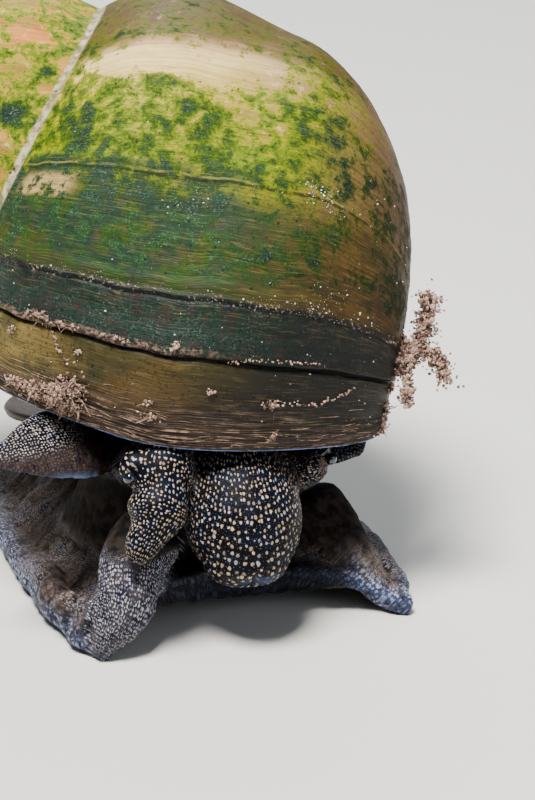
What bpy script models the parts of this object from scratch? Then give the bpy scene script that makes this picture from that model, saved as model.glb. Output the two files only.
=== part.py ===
"""Danube river snail as a still, life-size museum model: shell, body, foot and operculum.

Lengths are in millimetres and angles in degrees unless a name says otherwise. The animal heads
along -Y, its right side is -X, and the sole lies on z = 0. The shell is one logarithmic spiral:
every whorl is the one before it, turned once about the shell's axis and made larger.
"""

import math

import bmesh
import bpy
import numpy as np

# One whorl's outline, as radius and height along the shell's axis, at the size it has at the lip
WHORL_GROWTH = 1.59
WHORLS = 5.2
SUTURE = (11.137, 21.889)
PERIPHERY = (17.50, 33.782)
SHOULDER_SHARE = (0.636, 0.258)
UNDERSIDE_SHARE = (0.68, 0.70)
BASE = (8.304, 48.842)
COLUMELLA_BASE = (3.857, 46.653)
AXIS_FOOT = 40.4

# The growth lines, which the lip is the last of, lean by these factors away from this share
LIP_LEAN = (-1.236, 0.177)
LIP_MIDDLE = 0.35

# The first whorl swells from a cone over this many turns, under a low cap with one ring halfway
SWELLING_TURNS = 0.8
APEX_RISE = 0.35
APEX_RING = (0.55, 0.7)

# The wall is thin at the rim and full after a short turn, and the throat goes back this far,
# with all turns in radians
WALL = 0.95
RIM_WALL = 0.55
RIM_TURNS = (0.0, 0.06, 0.16)
THROAT_TURNS = (0.34, 2.55)
THROAT_RINGS = 13
THROAT_MIDDLE = (11.5, 37.0)
THROAT_MIDDLE_TURN = -0.15
COLUMELLA = ((2.7, 40.3), (3.1, 36.0), (4.6, 32.9))
COLUMELLA_SPREAD = ((1.1, 0.0), (1.2, 0.0), (1.0, 1.0))
OUTER_SHARES = (0.085, 0.90)
PARIETAL_SHARES = (0.70, 0.44)
PARIETAL_LEANS = (0.95, 0.05)

# How finely the shell is drawn: columns to a turn, rows above and below the next suture
COLUMNS = 40
UPPER_ROWS = 11
BASE_ROWS = 10

# How the shell is carried: direction of its axis, turn about the axis, and place
AXIS_AZIMUTH = -31.249
AXIS_TILT = 123.578
SHELL_TURN = -76.347
SHELL_PLACE = (-26.446, 18.281, 35.363)

# Parts that meet keep this gap, and a part that is cut by another is cut this far off it
GAP = 0.3
CUTTER_MARGINS = {"neck": 0.4, "eye_right": 0.2, "eye_left": 0.2}

# The soft body in the shell: clear of the wall, from just inside the lip to near the cavity's end
MANTLE_CLEARANCE = 0.3
MANTLE_TURNS = (0.50, 2.25)
MANTLE_RINGS = 12
MANTLE_DISH = 0.05

# The neck: how far inside the wall it starts, then its oval stations as middle and half sizes
NECK_INSET = 1.2
NECK_TURNS = (0.16, -0.02)
NECK_TOP_TURN = 0.12
NECK_NARROWING = (0.84, 0.84, 0.5)
NECK_DROP = (0.2, -0.1, -2.1)
NECK_LOW = ((-6.1, -3.0, 7.2), (6.2, 5.9))
NECK_FOOT = ((-6.0, -2.2, 3.2), (7.6, 7.4))

# The foot: along Y its front margin, its two joints and its end, then its rise and half width
FOOT_CENTRE_X = -5.4
FOOT_FRONT_Y = -13.3
FOOT_FRONT_END = -6.3
FOOT_TAIL_START = 10.0
FOOT_END_Y = 27.0
FOOT_RISE = (
    (-13.3, 1.0),
    (-12.0, 1.7),
    (-10.0, 2.9),
    (-6.3, 5.2),
    (-1.0, 6.2),
    (5.0, 5.7),
    (10.0, 4.9),
    (16.0, 3.7),
    (22.0, 2.4),
    (27.0, 0.9),
)
FOOT_HALF_WIDTH = (
    (-13.3, 9.5),
    (-11.0, 10.2),
    (-6.0, 10.6),
    (0.0, 10.8),
    (8.0, 10.4),
    (14.0, 9.2),
    (19.0, 7.4),
    (23.0, 5.2),
    (25.5, 3.2),
    (27.0, 0.9),
)
FRONT_DRAWN_BACK = 2.4
FRONT_LIFT = 2.0
FRONT_LIFT_OF_BACK = 0.75
FRONT_REACH = 4.5
FRONT_ARCH = (0.93, 2.2)
BACK_ROUNDING = (2.1, 1.15)
FRONT_CROWDING = 1.3
SOLE_EDGE = 0.55
LEAST_THICKNESS = 0.45
CUTTER_DEPTH = 2.0

# The operculum: width, length and thickness, place and tilt, then its rings from top to under, as
# shares of the outline and of the thickness
OPERCULUM_SIZE = (14.5, 18.5, 0.8)
OPERCULUM_PLACE = (-5.4, 16.0, 4.35)
OPERCULUM_TILT = -11.5
OPERCULUM_NARROWING = 0.10
OPERCULUM_SIDES = 36
OPERCULUM_RINGS = (
    (0.35, 0.25),
    (0.70, 0.40),
    (0.94, 0.80),
    (1.00, 0.50),
    (0.95, 0.00),
    (0.60, -0.125),
    (0.30, -0.25),
)

# Tapered parts: points that the middle line runs through, and the radius at each
TUBES = {
    "snout": {
        "path": (
            (-5.6, -9.1, 8.9),
            (-5.7, -10.8, 8.1),
            (-5.85, -12.0, 6.9),
            (-6.0, -12.8, 5.7),
            (-6.1, -13.2, 4.9),
        ),
        "radii": (2.9, 3.3, 3.4, 3.1, 2.6),
        "sides": 26,
    },
    "tentacle_right": {
        "path": (
            (-9.0, -8.0, 10.2),
            (-10.4, -10.9, 9.9),
            (-10.8, -12.0, 8.9),
            (-11.4, -12.7, 7.45),
            (-12.2, -13.1, 6.5),
            (-12.7, -13.3, 6.0),
        ),
        "radii": (1.7, 1.75, 1.7, 1.4, 0.95, 0.6),
    },
    "tentacle_left": {
        "path": ((-3.7, -8.4, 9.3), (-2.7, -10.0, 9.2), (-2.0, -11.2, 9.35), (-1.4, -12.2, 9.75)),
        "radii": (1.4, 1.35, 1.2, 0.9),
    },
    "neck_lobe_right": {
        "path": (
            (-11.9, -5.6, 10.3),
            (-14.6, -7.1, 11.0),
            (-17.2, -8.2, 11.4),
            (-19.2, -8.6, 11.3),
        ),
        "radii": (1.7, 2.2, 2.0, 0.9),
        "flat": 0.34,
        "side_axis": (0, 0.8, 0.6),
    },
    "neck_lobe_left": {
        "path": ((-0.9, -5.8, 8.9), (0.9, -7.6, 9.3), (2.5, -8.8, 9.5)),
        "radii": (1.7, 1.6, 0.9),
        "flat": 0.4,
        "side_axis": (0, 0.8, 0.6),
    },
}
TUBE_ROUNDING = 0.6
CAP_ANGLES = (75, 50, 25)
LEAST_RADIUS = 0.05

# Rounded parts: middle and half sizes
BALLS = {
    "head": {"centre": (-6.0, -8.0, 8.9), "radii": (4.9, 3.5, 2.5), "parts": 28},
    "eye_stalk_right": {"centre": (-12.0, -10.9, 10.6), "radii": (0.9, 0.9, 1.1)},
    "eye_stalk_left": {"centre": (-0.5, -10.0, 9.5), "radii": (0.85, 0.85, 0.95)},
    "eye_right": {"centre": (-12.55, -11.8, 10.4), "radii": (0.36, 0.36, 0.36), "parts": 14},
    "eye_left": {"centre": (-0.05, -10.9, 9.6), "radii": (0.36, 0.36, 0.36), "parts": 14},
}

# Which parts each soft part gives way to
CUT_BY = {
    "neck": ("foot",),
    "head": ("foot", "neck"),
    "snout": ("head", "foot", "neck"),
    "tentacle_right": ("head", "snout", "neck"),
    "tentacle_left": ("head", "snout", "neck"),
    "eye_stalk_right": ("tentacle_right", "head", "eye_right"),
    "eye_stalk_left": ("tentacle_left", "head", "eye_left"),
    "neck_lobe_right": ("neck", "head", "tentacle_right"),
    "neck_lobe_left": ("neck", "head", "tentacle_left"),
}

# Linear colours and roughness by kind of part
FINISHES = {
    "shell": ((0.23, 0.24, 0.10), 0.45),
    "operculum": ((0.16, 0.07, 0.03), 0.5),
    "mantle": ((0.10, 0.10, 0.12), 0.5),
    "foot": ((0.13, 0.12, 0.12), 0.5),
    "neck": ((0.13, 0.12, 0.12), 0.5),
    "eye": ((0.01, 0.012, 0.03), 0.3),
    "head": ((0.03, 0.035, 0.05), 0.5),
}

# The whole model is moved so that the origin is at the bottom centre of its box
BOX_CENTRE = (-8.464, 5.696)
MM = 0.001
WELD_MM = 0.002
SLIVER_MM = 0.001
CUT_WELD_MM = 0.02


def spline(points, at):
    """Natural cubic spline through the points, read at a number of even steps or at given shares."""
    points = np.array(points, float)
    steps = np.linalg.norm(np.diff(points, axis=0), axis=1)
    knots = np.concatenate([[0.0], np.cumsum(steps)])
    size = len(points)
    system = np.eye(size)
    right = np.zeros_like(points)
    for i in range(1, size - 1):
        before, after = steps[i - 1], steps[i]
        system[i, i - 1 : i + 2] = (before, 2 * (before + after), after)
        right[i] = 6 * ((points[i + 1] - points[i]) / after - (points[i] - points[i - 1]) / before)
    bend = np.linalg.solve(system, right)
    shares = np.linspace(0, 1, at) if np.isscalar(at) else np.array(at)
    where = shares * knots[-1]
    k = np.clip(np.searchsorted(knots, where, side="right") - 1, 0, size - 2)
    width = steps[k][:, None]
    a = (knots[k + 1] - where)[:, None] / width
    b = 1 - a
    curve = (a**3 - a) * bend[k] + (b**3 - b) * bend[k + 1]
    return a * points[k] + b * points[k + 1] + curve * width**2 / 6


def whorl_profile():
    """The points that one whorl's outline runs through, and the next suture's share of it."""
    suture, periphery, base = np.array(SUTURE), np.array(PERIPHERY), np.array(BASE)
    shoulder = suture + (periphery - suture) * SHOULDER_SHARE
    next_suture = WHORL_GROWTH * suture
    underside = next_suture + (base - next_suture) * (1 - UNDERSIDE_SHARE[0], UNDERSIDE_SHARE[1])
    knots = [
        suture,
        shoulder,
        periphery,
        next_suture,
        underside,
        base,
        np.array(COLUMELLA_BASE),
        np.array((0.0, AXIS_FOOT)),
    ]
    lengths = np.cumsum(np.linalg.norm(np.diff(knots, axis=0), axis=1))
    return knots, lengths[2] / lengths[-1]


def lean(share):
    """Angle in radians by which a growth line runs ahead, at a share of the whorl's outline."""
    off = np.asarray(share, float) - LIP_MIDDLE
    return LIP_LEAN[0] * off + LIP_LEAN[1] * off**2


KNOTS, AT_NEXT_SUTURE = whorl_profile()
START_ANGLE = float(lean(0.0))
GROWTH_RATE = math.log(WHORL_GROWTH) / (2 * math.pi)


def about_z(degrees):
    """A turn about the Z axis."""
    c, s = math.cos(math.radians(degrees)), math.sin(math.radians(degrees))
    return np.array([[c, -s, 0], [s, c, 0], [0, 0, 1]])


def about_y(degrees):
    """A turn about the Y axis."""
    c, s = math.cos(math.radians(degrees)), math.sin(math.radians(degrees))
    return np.array([[c, 0, s], [0, 1, 0], [-s, 0, c]])


SHELL_AXES = about_z(AXIS_AZIMUTH) @ about_y(AXIS_TILT) @ about_z(SHELL_TURN)


def spiral(radius, height, angle):
    """Points of the shell in the model's frame, from radius and height at the lip's size."""
    radius, height, angle = np.broadcast_arrays(radius, height, angle)
    size = np.exp(GROWTH_RATE * angle)
    across, along = radius * size, height * size
    own = np.stack([across * np.cos(angle), across * np.sin(angle), along], -1)
    return own @ SHELL_AXES.T + np.array(SHELL_PLACE)


def parietal_angles(share):
    """Angles of the line where the lip crosses the whorl before, over the outline's last part."""
    part = np.clip((np.asarray(share) - AT_NEXT_SUTURE) / (1 - AT_NEXT_SUTURE), 0, 1)
    smooth = part * part * (3 - 2 * part)
    return START_ANGLE + (float(lean(1.0)) - START_ANGLE) * smooth


def offset_profile(shares, distance):
    """The whorl's outline moved inwards by a distance, or outwards by a negative one."""
    fine = spline(KNOTS, 400)
    along = np.gradient(fine, axis=0)
    along /= np.linalg.norm(along, axis=1)[:, None]
    inward = np.stack([-along[:, 1], along[:, 0]], -1)
    at = np.linspace(0, 1, len(fine))
    base = np.stack([np.interp(shares, at, fine[:, i]) for i in (0, 1)], -1)
    side = np.stack([np.interp(shares, at, inward[:, i]) for i in (0, 1)], -1)
    return base + side * distance


def throat_loop(wall):
    """The opening of the last whorl inside its wall: outer side, columella, parietal side."""
    outer_share = np.linspace(*OUTER_SHARES, UPPER_ROWS + BASE_ROWS - 1)
    outer = offset_profile(outer_share, wall)
    parietal_share = np.linspace(*PARIETAL_SHARES, BASE_ROWS)
    parietal = offset_profile(parietal_share, -wall * WHORL_GROWTH) / WHORL_GROWTH
    columella_middle = np.array(COLUMELLA) + np.array(COLUMELLA_SPREAD) * (wall - WALL)
    columella = spline([outer[-1], *columella_middle, parietal[0]], COLUMNS + 1)[1:-1]
    outer_lean = lean(outer_share)
    part = np.linspace(*PARIETAL_LEANS, BASE_ROWS)
    parietal_lean = parietal_angles(AT_NEXT_SUTURE + (1 - AT_NEXT_SUTURE) * part)
    columella_lean = np.linspace(outer_lean[-1], parietal_lean[0], COLUMNS + 1)[1:-1]
    loop = np.concatenate([outer, columella, parietal])
    return loop, np.concatenate([outer_lean, columella_lean, parietal_lean])


def throat_middle(step):
    """A point well inside the throat, a step back from the lip."""
    return spiral(*THROAT_MIDDLE, THROAT_MIDDLE_TURN - step)


def grid_faces(mesh, points, closed=False):
    """Adds a grid of points, rows by columns, as quads."""
    rows = [[mesh.verts.new(tuple(p)) for p in row] for row in np.asarray(points)]
    for low, high in zip(rows[:-1], rows[1:]):
        pairs = list(zip(low[:-1], low[1:], high[1:], high[:-1]))
        if closed:
            pairs.append((low[-1], low[0], high[0], high[-1]))
        for corners in pairs:
            mesh.faces.new(corners)


def fan(mesh, loop, middle):
    """Closes a loop of points with a fan about a middle point."""
    ring = [mesh.verts.new(tuple(p)) for p in loop]
    centre = mesh.verts.new(tuple(middle))
    for i, vert in enumerate(ring):
        mesh.faces.new((vert, ring[(i + 1) % len(ring)], centre))


def last_whorl():
    """The last whorl's outer face, from the whorl before it to the lip, as a grid."""
    shares = np.concatenate(
        [
            np.linspace(0, AT_NEXT_SUTURE, UPPER_ROWS),
            np.linspace(AT_NEXT_SUTURE, 1, BASE_ROWS)[1:],
        ]
    )
    profile = spline(KNOTS, shares)
    start = np.where(shares <= AT_NEXT_SUTURE, START_ANGLE, parietal_angles(shares)) - 2 * math.pi
    part = np.linspace(0, 1, COLUMNS + 1)[:, None]
    return spiral(profile[:, 0], profile[:, 1], start * (1 - part) + lean(shares) * part)


def spire():
    """The earlier whorls, suture to suture, as a grid that starts at the apex."""
    upper = spline(KNOTS, np.linspace(0, AT_NEXT_SUTURE, UPPER_ROWS))
    chord = np.linspace(upper[0], upper[-1], UPPER_ROWS)
    back = np.arange(round(COLUMNS * (WHORLS - 1)), -1, -1)
    part = np.clip((back[0] - back) / (COLUMNS * SWELLING_TURNS), 0, 1)[:, None, None]
    swollen = part * part * (3 - 2 * part)
    outline = chord + (upper - chord) * swollen
    angles = START_ANGLE - 2 * math.pi - back[:, None] * 2 * math.pi / COLUMNS
    return spiral(outline[..., 0], outline[..., 1], angles)


def apex_cap(mesh, whorls):
    """Closes the spire's start with a low round cap."""
    loop = np.concatenate([whorls[: COLUMNS + 1, 0], whorls[0, 1:-1][::-1]])
    middle = loop.mean(axis=0)
    up = -SHELL_AXES[:, 2] * APEX_RISE
    halfway = middle + (loop - middle) * APEX_RING[0] + up * APEX_RING[1]
    grid_faces(mesh, [loop, halfway], closed=True)
    fan(mesh, halfway, middle + up)


def shell_mesh():
    """The shell as one closed wall round its throat, solid in the spire."""
    mesh = bmesh.new()
    last, earlier = last_whorl(), spire()
    grid_faces(mesh, last)
    grid_faces(mesh, earlier)
    apex_cap(mesh, earlier)
    axis_line = last[::-1, -1][1:-1]
    parietal = last[0, UPPER_ROWS - 1 :][::-1]
    rings = [np.concatenate([last[-1], axis_line, parietal])]
    for step in (*RIM_TURNS, *np.linspace(*THROAT_TURNS, THROAT_RINGS)):
        wall = RIM_WALL + (WALL - RIM_WALL) * min(1.0, step / RIM_TURNS[-1])
        loop, angles = throat_loop(wall)
        rings.append(spiral(loop[:, 0], loop[:, 1], angles - step))
    grid_faces(mesh, rings, closed=True)
    fan(mesh, rings[-1], throat_middle(THROAT_TURNS[1]))
    return mesh


def sparse_throat(wall):
    """The throat loop with fewer points on its straighter outer and inner sides."""
    loop, angles = throat_loop(wall)
    outer = UPPER_ROWS + BASE_ROWS - 1
    inner = outer + COLUMNS - 1
    keep = [*range(0, outer, 2), *range(outer + 1, inner, 3), *range(inner, len(loop))]
    return loop[keep], angles[keep]


def mantle_mesh():
    """The soft body inside the last whorl, clear of the wall all round."""
    mesh = bmesh.new()
    loop, angles = sparse_throat(WALL + GAP + MANTLE_CLEARANCE)
    steps = np.linspace(*MANTLE_TURNS, MANTLE_RINGS)
    rings = [spiral(loop[:, 0], loop[:, 1], angles - step) for step in steps]
    grid_faces(mesh, rings, closed=True)
    fan(mesh, rings[0], throat_middle(MANTLE_TURNS[0] + MANTLE_DISH))
    fan(mesh, rings[-1], throat_middle(MANTLE_TURNS[1]))
    return mesh


def turn_along(loop):
    """Angles about a loop's middle that follow its length, so that an oval can be joined to it."""
    middle = loop.mean(axis=0)
    lengths = np.linalg.norm(np.roll(loop, -1, axis=0) - loop, axis=1)
    around = np.cumsum(lengths) - lengths
    flat = loop[:, :2] - middle[:2]
    area = (flat[:, 0] * np.roll(flat[:, 1], -1) - flat[:, 1] * np.roll(flat[:, 0], -1)).sum()
    start = math.atan2(flat[0, 1], flat[0, 0])
    return start + math.copysign(2 * math.pi, area) * around / lengths.sum()


def oval(turn, middle, half_sizes, grow, height):
    """A level oval of points."""
    x = middle[0] + (half_sizes[0] + grow) * np.cos(turn)
    y = middle[1] + (half_sizes[1] + grow) * np.sin(turn)
    return np.stack([x, y, np.full(len(turn), height)], -1)


def neck_mesh(grow=0.0):
    """The column from the throat down into the foot."""
    mesh = bmesh.new()
    loop, angles = sparse_throat(WALL + GAP + NECK_INSET - grow)
    top, rim = [spiral(loop[:, 0], loop[:, 1], angles - step) for step in NECK_TURNS]
    middle = rim.mean(axis=0)
    below = middle + (rim - middle) * NECK_NARROWING + NECK_DROP
    turn = turn_along(rim)
    low = oval(turn, *NECK_LOW, grow, NECK_LOW[0][2])
    bottom = oval(turn, *NECK_FOOT, grow, NECK_FOOT[0][2] - grow)
    rings = [top, rim, below, (below + low) / 2, low, (low + bottom) / 2, bottom]
    grid_faces(mesh, rings, closed=True)
    fan(mesh, top, throat_middle(NECK_TOP_TURN))
    fan(mesh, bottom, bottom.mean(axis=0))
    return mesh


def tube_ring(centre, direction, radius, sides, flat, side_axis, grow):
    """One oval section of a tube."""
    across = np.cross(direction, side_axis)
    across /= np.linalg.norm(across)
    second = np.cross(across, direction)
    turn = np.linspace(0, 2 * math.pi, sides, endpoint=False)[:, None]
    wide = max(radius, LEAST_RADIUS) + grow
    thin = max(radius * flat, LEAST_RADIUS) + grow
    return centre + wide * np.cos(turn) * second + thin * np.sin(turn) * across


def tube_mesh(path, radii, sides=20, stations=14, flat=1.0, side_axis=(1, 0, 0), grow=0.0):
    """A round-ended tube along a spline, flattened across where flat is below 1."""
    mesh = bmesh.new()
    middle_line = spline(path, stations)
    radius = spline(np.column_stack([path, radii]), stations)[:, 3]
    along = np.gradient(middle_line, axis=0)
    along /= np.linalg.norm(along, axis=1)[:, None]
    shape = (sides, flat, side_axis, grow)
    rings = [tube_ring(*station, *shape) for station in zip(middle_line, along, radius)]
    tips = []
    for end, sign in ((0, -1), (-1, 1)):
        depth = radius[end] * TUBE_ROUNDING + grow
        cap = []
        for angle in np.radians(CAP_ANGLES):
            centre = middle_line[end] + sign * along[end] * depth * math.sin(angle)
            cap.append(tube_ring(centre, along[end], radius[end] * math.cos(angle), *shape))
        rings = cap + rings if sign < 0 else rings + cap[::-1]
        tips.append(middle_line[end] + sign * along[end] * depth)
    grid_faces(mesh, rings, closed=True)
    fan(mesh, rings[0], tips[0])
    fan(mesh, rings[-1], tips[1])
    return mesh


def ball_mesh(centre, radii, grow=0.0, parts=18):
    """An ellipsoid."""
    mesh = bmesh.new()
    bmesh.ops.create_uvsphere(mesh, u_segments=parts, v_segments=parts // 2 + 1, radius=1.0)
    for vert in mesh.verts:
        for i in range(3):
            vert.co[i] = centre[i] + vert.co[i] * (radii[i] + grow)
    return mesh


def foot_section(y, share, grow):
    """The foot's outline across at one place: a flat sole under a back that rises to the middle."""
    half = np.interp(y, *zip(*FOOT_HALF_WIDTH)) + grow
    rise = np.interp(y, *zip(*FOOT_RISE)) + grow
    nearness = max(0.0, 1 - (y - FOOT_FRONT_Y) / FRONT_REACH) ** 2
    off = np.abs(share)
    arch = np.clip(1 - (off / FRONT_ARCH[0]) ** FRONT_ARCH[1], 0, 1) * nearness
    x = FOOT_CENTRE_X + half * share
    ys = y + FRONT_DRAWN_BACK * arch
    lift = FRONT_LIFT * arch
    back = SOLE_EDGE + (rise - SOLE_EDGE) * (1 - off ** BACK_ROUNDING[0]) ** BACK_ROUNDING[1]
    top = lift * FRONT_LIFT_OF_BACK + back
    sole = lift if grow == 0 else np.full(len(share), -CUTTER_DEPTH)
    sole = np.minimum(sole, top - LEAST_THICKNESS)
    return np.concatenate([np.stack([x, ys, top], -1), np.stack([x, ys, sole], -1)[::-1]])


def foot_mesh(start, end, grow=0.0, stations=10, across=25):
    """A stretch of the foot, drawn back and arched along its front margin."""
    mesh = bmesh.new()
    share = np.linspace(-1, 1, across)
    steps = np.linspace(0, 1, stations)
    if start <= FOOT_FRONT_Y:
        steps = steps**FRONT_CROWDING
    rings = [foot_section(y, share, grow) for y in start + (end - start) * steps]
    grid_faces(mesh, rings, closed=True)
    for ring in (rings[0], rings[-1]):
        grid_faces(mesh, [ring[:across], ring[across:][::-1]])
    return mesh


def operculum_mesh():
    """The horny plate that closes the shell's mouth, carried on the back of the tail."""
    mesh = bmesh.new()
    width, length, thick = OPERCULUM_SIZE
    turn = np.linspace(0, 2 * math.pi, OPERCULUM_SIDES, endpoint=False)
    x = width / 2 * (1 - OPERCULUM_NARROWING * np.sin(turn)) * np.cos(turn)
    y = length / 2 * np.sin(turn)
    tilt = math.radians(OPERCULUM_TILT)
    c, s = math.cos(tilt), math.sin(tilt)
    rings = []
    for share, height in OPERCULUM_RINGS:
        z = height * thick
        ring = np.stack([x * share, y * share * c - z * s, y * share * s + z * c], -1)
        rings.append(ring + OPERCULUM_PLACE)
    grid_faces(mesh, rings, closed=True)
    fan(mesh, rings[0], rings[0].mean(axis=0))
    fan(mesh, rings[-1], rings[-1].mean(axis=0))
    return mesh


def soft_mesh(name, grow=0.0):
    """The mesh of a soft part by name, grown all round where it is to cut another."""
    if name == "foot":
        return foot_mesh(FOOT_FRONT_Y, FOOT_END_Y, grow=grow, stations=26)
    if name == "neck":
        return neck_mesh(grow)
    if name in TUBES:
        return tube_mesh(**TUBES[name], grow=grow)
    return ball_mesh(**BALLS[name], grow=grow)


def finish_mesh(mesh, name, collection):
    """Welds, turns the faces outwards and makes the object in metres, in its last place."""
    bmesh.ops.remove_doubles(mesh, verts=mesh.verts[:], dist=WELD_MM)
    bmesh.ops.dissolve_degenerate(mesh, edges=mesh.edges[:], dist=SLIVER_MM)
    bmesh.ops.triangulate(mesh, faces=mesh.faces[:])
    bmesh.ops.recalc_face_normals(mesh, faces=mesh.faces[:])
    for vert in mesh.verts:
        x, y, z = vert.co
        vert.co = ((x - BOX_CENTRE[0]) * MM, (y - BOX_CENTRE[1]) * MM, z * MM)
    data = bpy.data.meshes.new(name)
    mesh.to_mesh(data)
    mesh.free()
    obj = bpy.data.objects.new(name, data)
    collection.objects.link(obj)
    return obj


def keep_largest(mesh):
    """Removes every closed surface but the one with the largest box."""
    left, groups = set(mesh.verts), []
    while left:
        stack, group = [left.pop()], []
        while stack:
            vert = stack.pop()
            group.append(vert)
            neighbours = {edge.other_vert(vert) for edge in vert.link_edges} & left
            left -= neighbours
            stack.extend(neighbours)
        groups.append(group)

    def size(group):
        points = np.array([vert.co for vert in group])
        return np.linalg.norm(points.max(axis=0) - points.min(axis=0))

    for group in sorted(groups, key=size)[:-1]:
        bmesh.ops.delete(mesh, geom=group, context="VERTS")


def cut(obj, cutters):
    """Takes the cutters from the object and keeps its largest closed surface."""
    for cutter in cutters:
        modifier = obj.modifiers.new("cut", "BOOLEAN")
        modifier.operation = "DIFFERENCE"
        modifier.solver = "EXACT"
        modifier.object = cutter
    graph = bpy.context.evaluated_depsgraph_get()
    graph.update()
    result = bpy.data.meshes.new_from_object(obj.evaluated_get(graph))
    obj.modifiers.clear()
    obj.data = result
    mesh = bmesh.new()
    mesh.from_mesh(result)
    bmesh.ops.remove_doubles(mesh, verts=mesh.verts[:], dist=CUT_WELD_MM * MM)
    bmesh.ops.dissolve_degenerate(mesh, edges=mesh.edges[:], dist=CUT_WELD_MM / 2 * MM)
    keep_largest(mesh)
    bmesh.ops.triangulate(mesh, faces=mesh.faces[:])
    mesh.to_mesh(result)
    mesh.free()


def make_cutters(collection):
    """A wire helper for each part that another gives way to, grown by its margin."""
    cutters = {}
    for name in sorted({name for names in CUT_BY.values() for name in names}):
        margin = CUTTER_MARGINS.get(name, GAP)
        cutters[name] = finish_mesh(soft_mesh(name, margin), name + "_cutter", collection)
        cutters[name].hide_render = True
        cutters[name].display_type = "WIRE"
    return cutters


def add_finish(obj):
    """Gives a part its own material, by the kind that its name starts with, and smooth faces."""
    name = obj.name
    if name in ("eye_right", "eye_left"):
        kind = "eye"
    else:
        starts = [kind for kind in ("shell", "operculum", "mantle", "foot") if name.startswith(kind)]
        kind = starts[0] if starts else "neck" if name == "neck" else "head"
    colour, roughness = FINISHES[kind]
    material = bpy.data.materials.new(name)
    material.use_nodes = True
    shader = material.node_tree.nodes["Principled BSDF"]
    shader.inputs["Base Color"].default_value = (*colour, 1.0)
    shader.inputs["Roughness"].default_value = roughness
    material.diffuse_color = (*colour, 1.0)
    obj.data.materials.clear()
    obj.data.materials.append(material)
    obj.data.shade_smooth()


def main():
    """Builds the animal in a collection of its own, then removes the cutters."""
    for obj in list(bpy.data.objects):
        bpy.data.objects.remove(obj)
    snail = bpy.data.collections.new("danube_river_snail")
    helpers = bpy.data.collections.new("helpers")
    bpy.context.scene.collection.children.link(snail)
    bpy.context.scene.collection.children.link(helpers)

    finish_mesh(shell_mesh(), "shell", snail)
    finish_mesh(mantle_mesh(), "mantle", snail)
    finish_mesh(operculum_mesh(), "operculum", snail)
    front_end, middle_start = FOOT_FRONT_END - GAP / 2, FOOT_FRONT_END + GAP / 2
    middle_end, tail_start = FOOT_TAIL_START - GAP / 2, FOOT_TAIL_START + GAP / 2
    finish_mesh(foot_mesh(FOOT_FRONT_Y, front_end, stations=12), "foot_front", snail)
    finish_mesh(foot_mesh(middle_start, middle_end), "foot_middle", snail)
    finish_mesh(foot_mesh(tail_start, FOOT_END_Y, stations=12), "foot_tail", snail)
    soft_names = ["neck", *TUBES, *BALLS]
    soft = {name: finish_mesh(soft_mesh(name), name, snail) for name in soft_names}

    cutters = make_cutters(helpers)
    for name, cutter_names in CUT_BY.items():
        cut(soft[name], [cutters[cutter] for cutter in cutter_names])
    for obj in list(helpers.objects):
        bpy.data.objects.remove(obj)
    bpy.data.collections.remove(helpers)
    for obj in snail.objects:
        add_finish(obj)


main()
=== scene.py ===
# %% [markdown]
# # A danube river snail, life size
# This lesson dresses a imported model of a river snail. The shell is one logarithmic spiral, the soft
# body is one continuous skin, and the eyes, the operculum and the detritus on the shell are pieces
# of their own. Every length is a millimetre on the maker's drawing until a piece is moved to the frame.

# %% Load the fixed frame
import math

import bpy
import numpy as np
from mathutils import Matrix, Vector, noise


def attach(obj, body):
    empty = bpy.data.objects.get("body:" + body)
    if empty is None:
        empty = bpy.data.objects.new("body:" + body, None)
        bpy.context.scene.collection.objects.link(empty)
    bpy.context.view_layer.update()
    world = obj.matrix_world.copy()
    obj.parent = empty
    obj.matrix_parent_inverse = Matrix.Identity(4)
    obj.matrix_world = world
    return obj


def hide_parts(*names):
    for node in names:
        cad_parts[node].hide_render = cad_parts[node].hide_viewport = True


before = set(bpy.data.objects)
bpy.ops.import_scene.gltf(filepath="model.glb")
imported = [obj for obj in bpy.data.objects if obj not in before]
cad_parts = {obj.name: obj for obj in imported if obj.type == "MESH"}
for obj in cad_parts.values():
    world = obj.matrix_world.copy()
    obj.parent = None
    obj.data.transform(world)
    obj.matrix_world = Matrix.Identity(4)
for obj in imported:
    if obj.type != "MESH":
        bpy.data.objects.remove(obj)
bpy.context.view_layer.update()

# %% [markdown]
# ## From the drawing to the frame
# The drawing has its own zero point, which the shell's fit gave. The frame wants metres with the zero
# at the bottom centre of the box. One matrix does both, and it is applied to the mesh itself, so that
# each finished object stays at the origin, unturned and unscaled.

# %% The drawing's units and the matrix to the frame
MM = 0.001
BOX_MIDDLE = Vector((-8.464, 5.696, 0.0))
TO_FRAME = Matrix.Scale(MM, 4) @ Matrix.Translation(-BOX_MIDDLE)


def select_only(*pieces):
    """Leaves these pieces selected and the last of them active."""
    bpy.ops.object.select_all(action="DESELECT")
    for piece in pieces:
        piece.select_set(True)
        bpy.context.view_layer.objects.active = piece


def points_of(piece, what="co"):
    """The mesh's points as an array, or their normals if what is normal."""
    flat = np.empty(len(piece.data.vertices) * 3, np.float32)
    piece.data.vertices.foreach_get(what, flat)
    return flat.reshape(-1, 3).astype(float)


def put_points(piece, points):
    """Moves the mesh's points."""
    piece.data.vertices.foreach_set("co", np.ascontiguousarray(points, np.float32).ravel())
    piece.data.update()


def triangles_of(piece):
    """How many triangles a piece has."""
    piece.data.calc_loop_triangles()
    return len(piece.data.loop_triangles)


def add_object(name, data):
    """A new object in the scene."""
    made = bpy.data.objects.new(name, data)
    bpy.context.scene.collection.objects.link(made)
    return made


def primitive(name, add, **settings):
    """Adds a mesh primitive with nothing else selected."""
    bpy.ops.object.select_all(action="DESELECT")
    add(**settings)
    bpy.context.object.name = name
    return bpy.context.object


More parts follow.
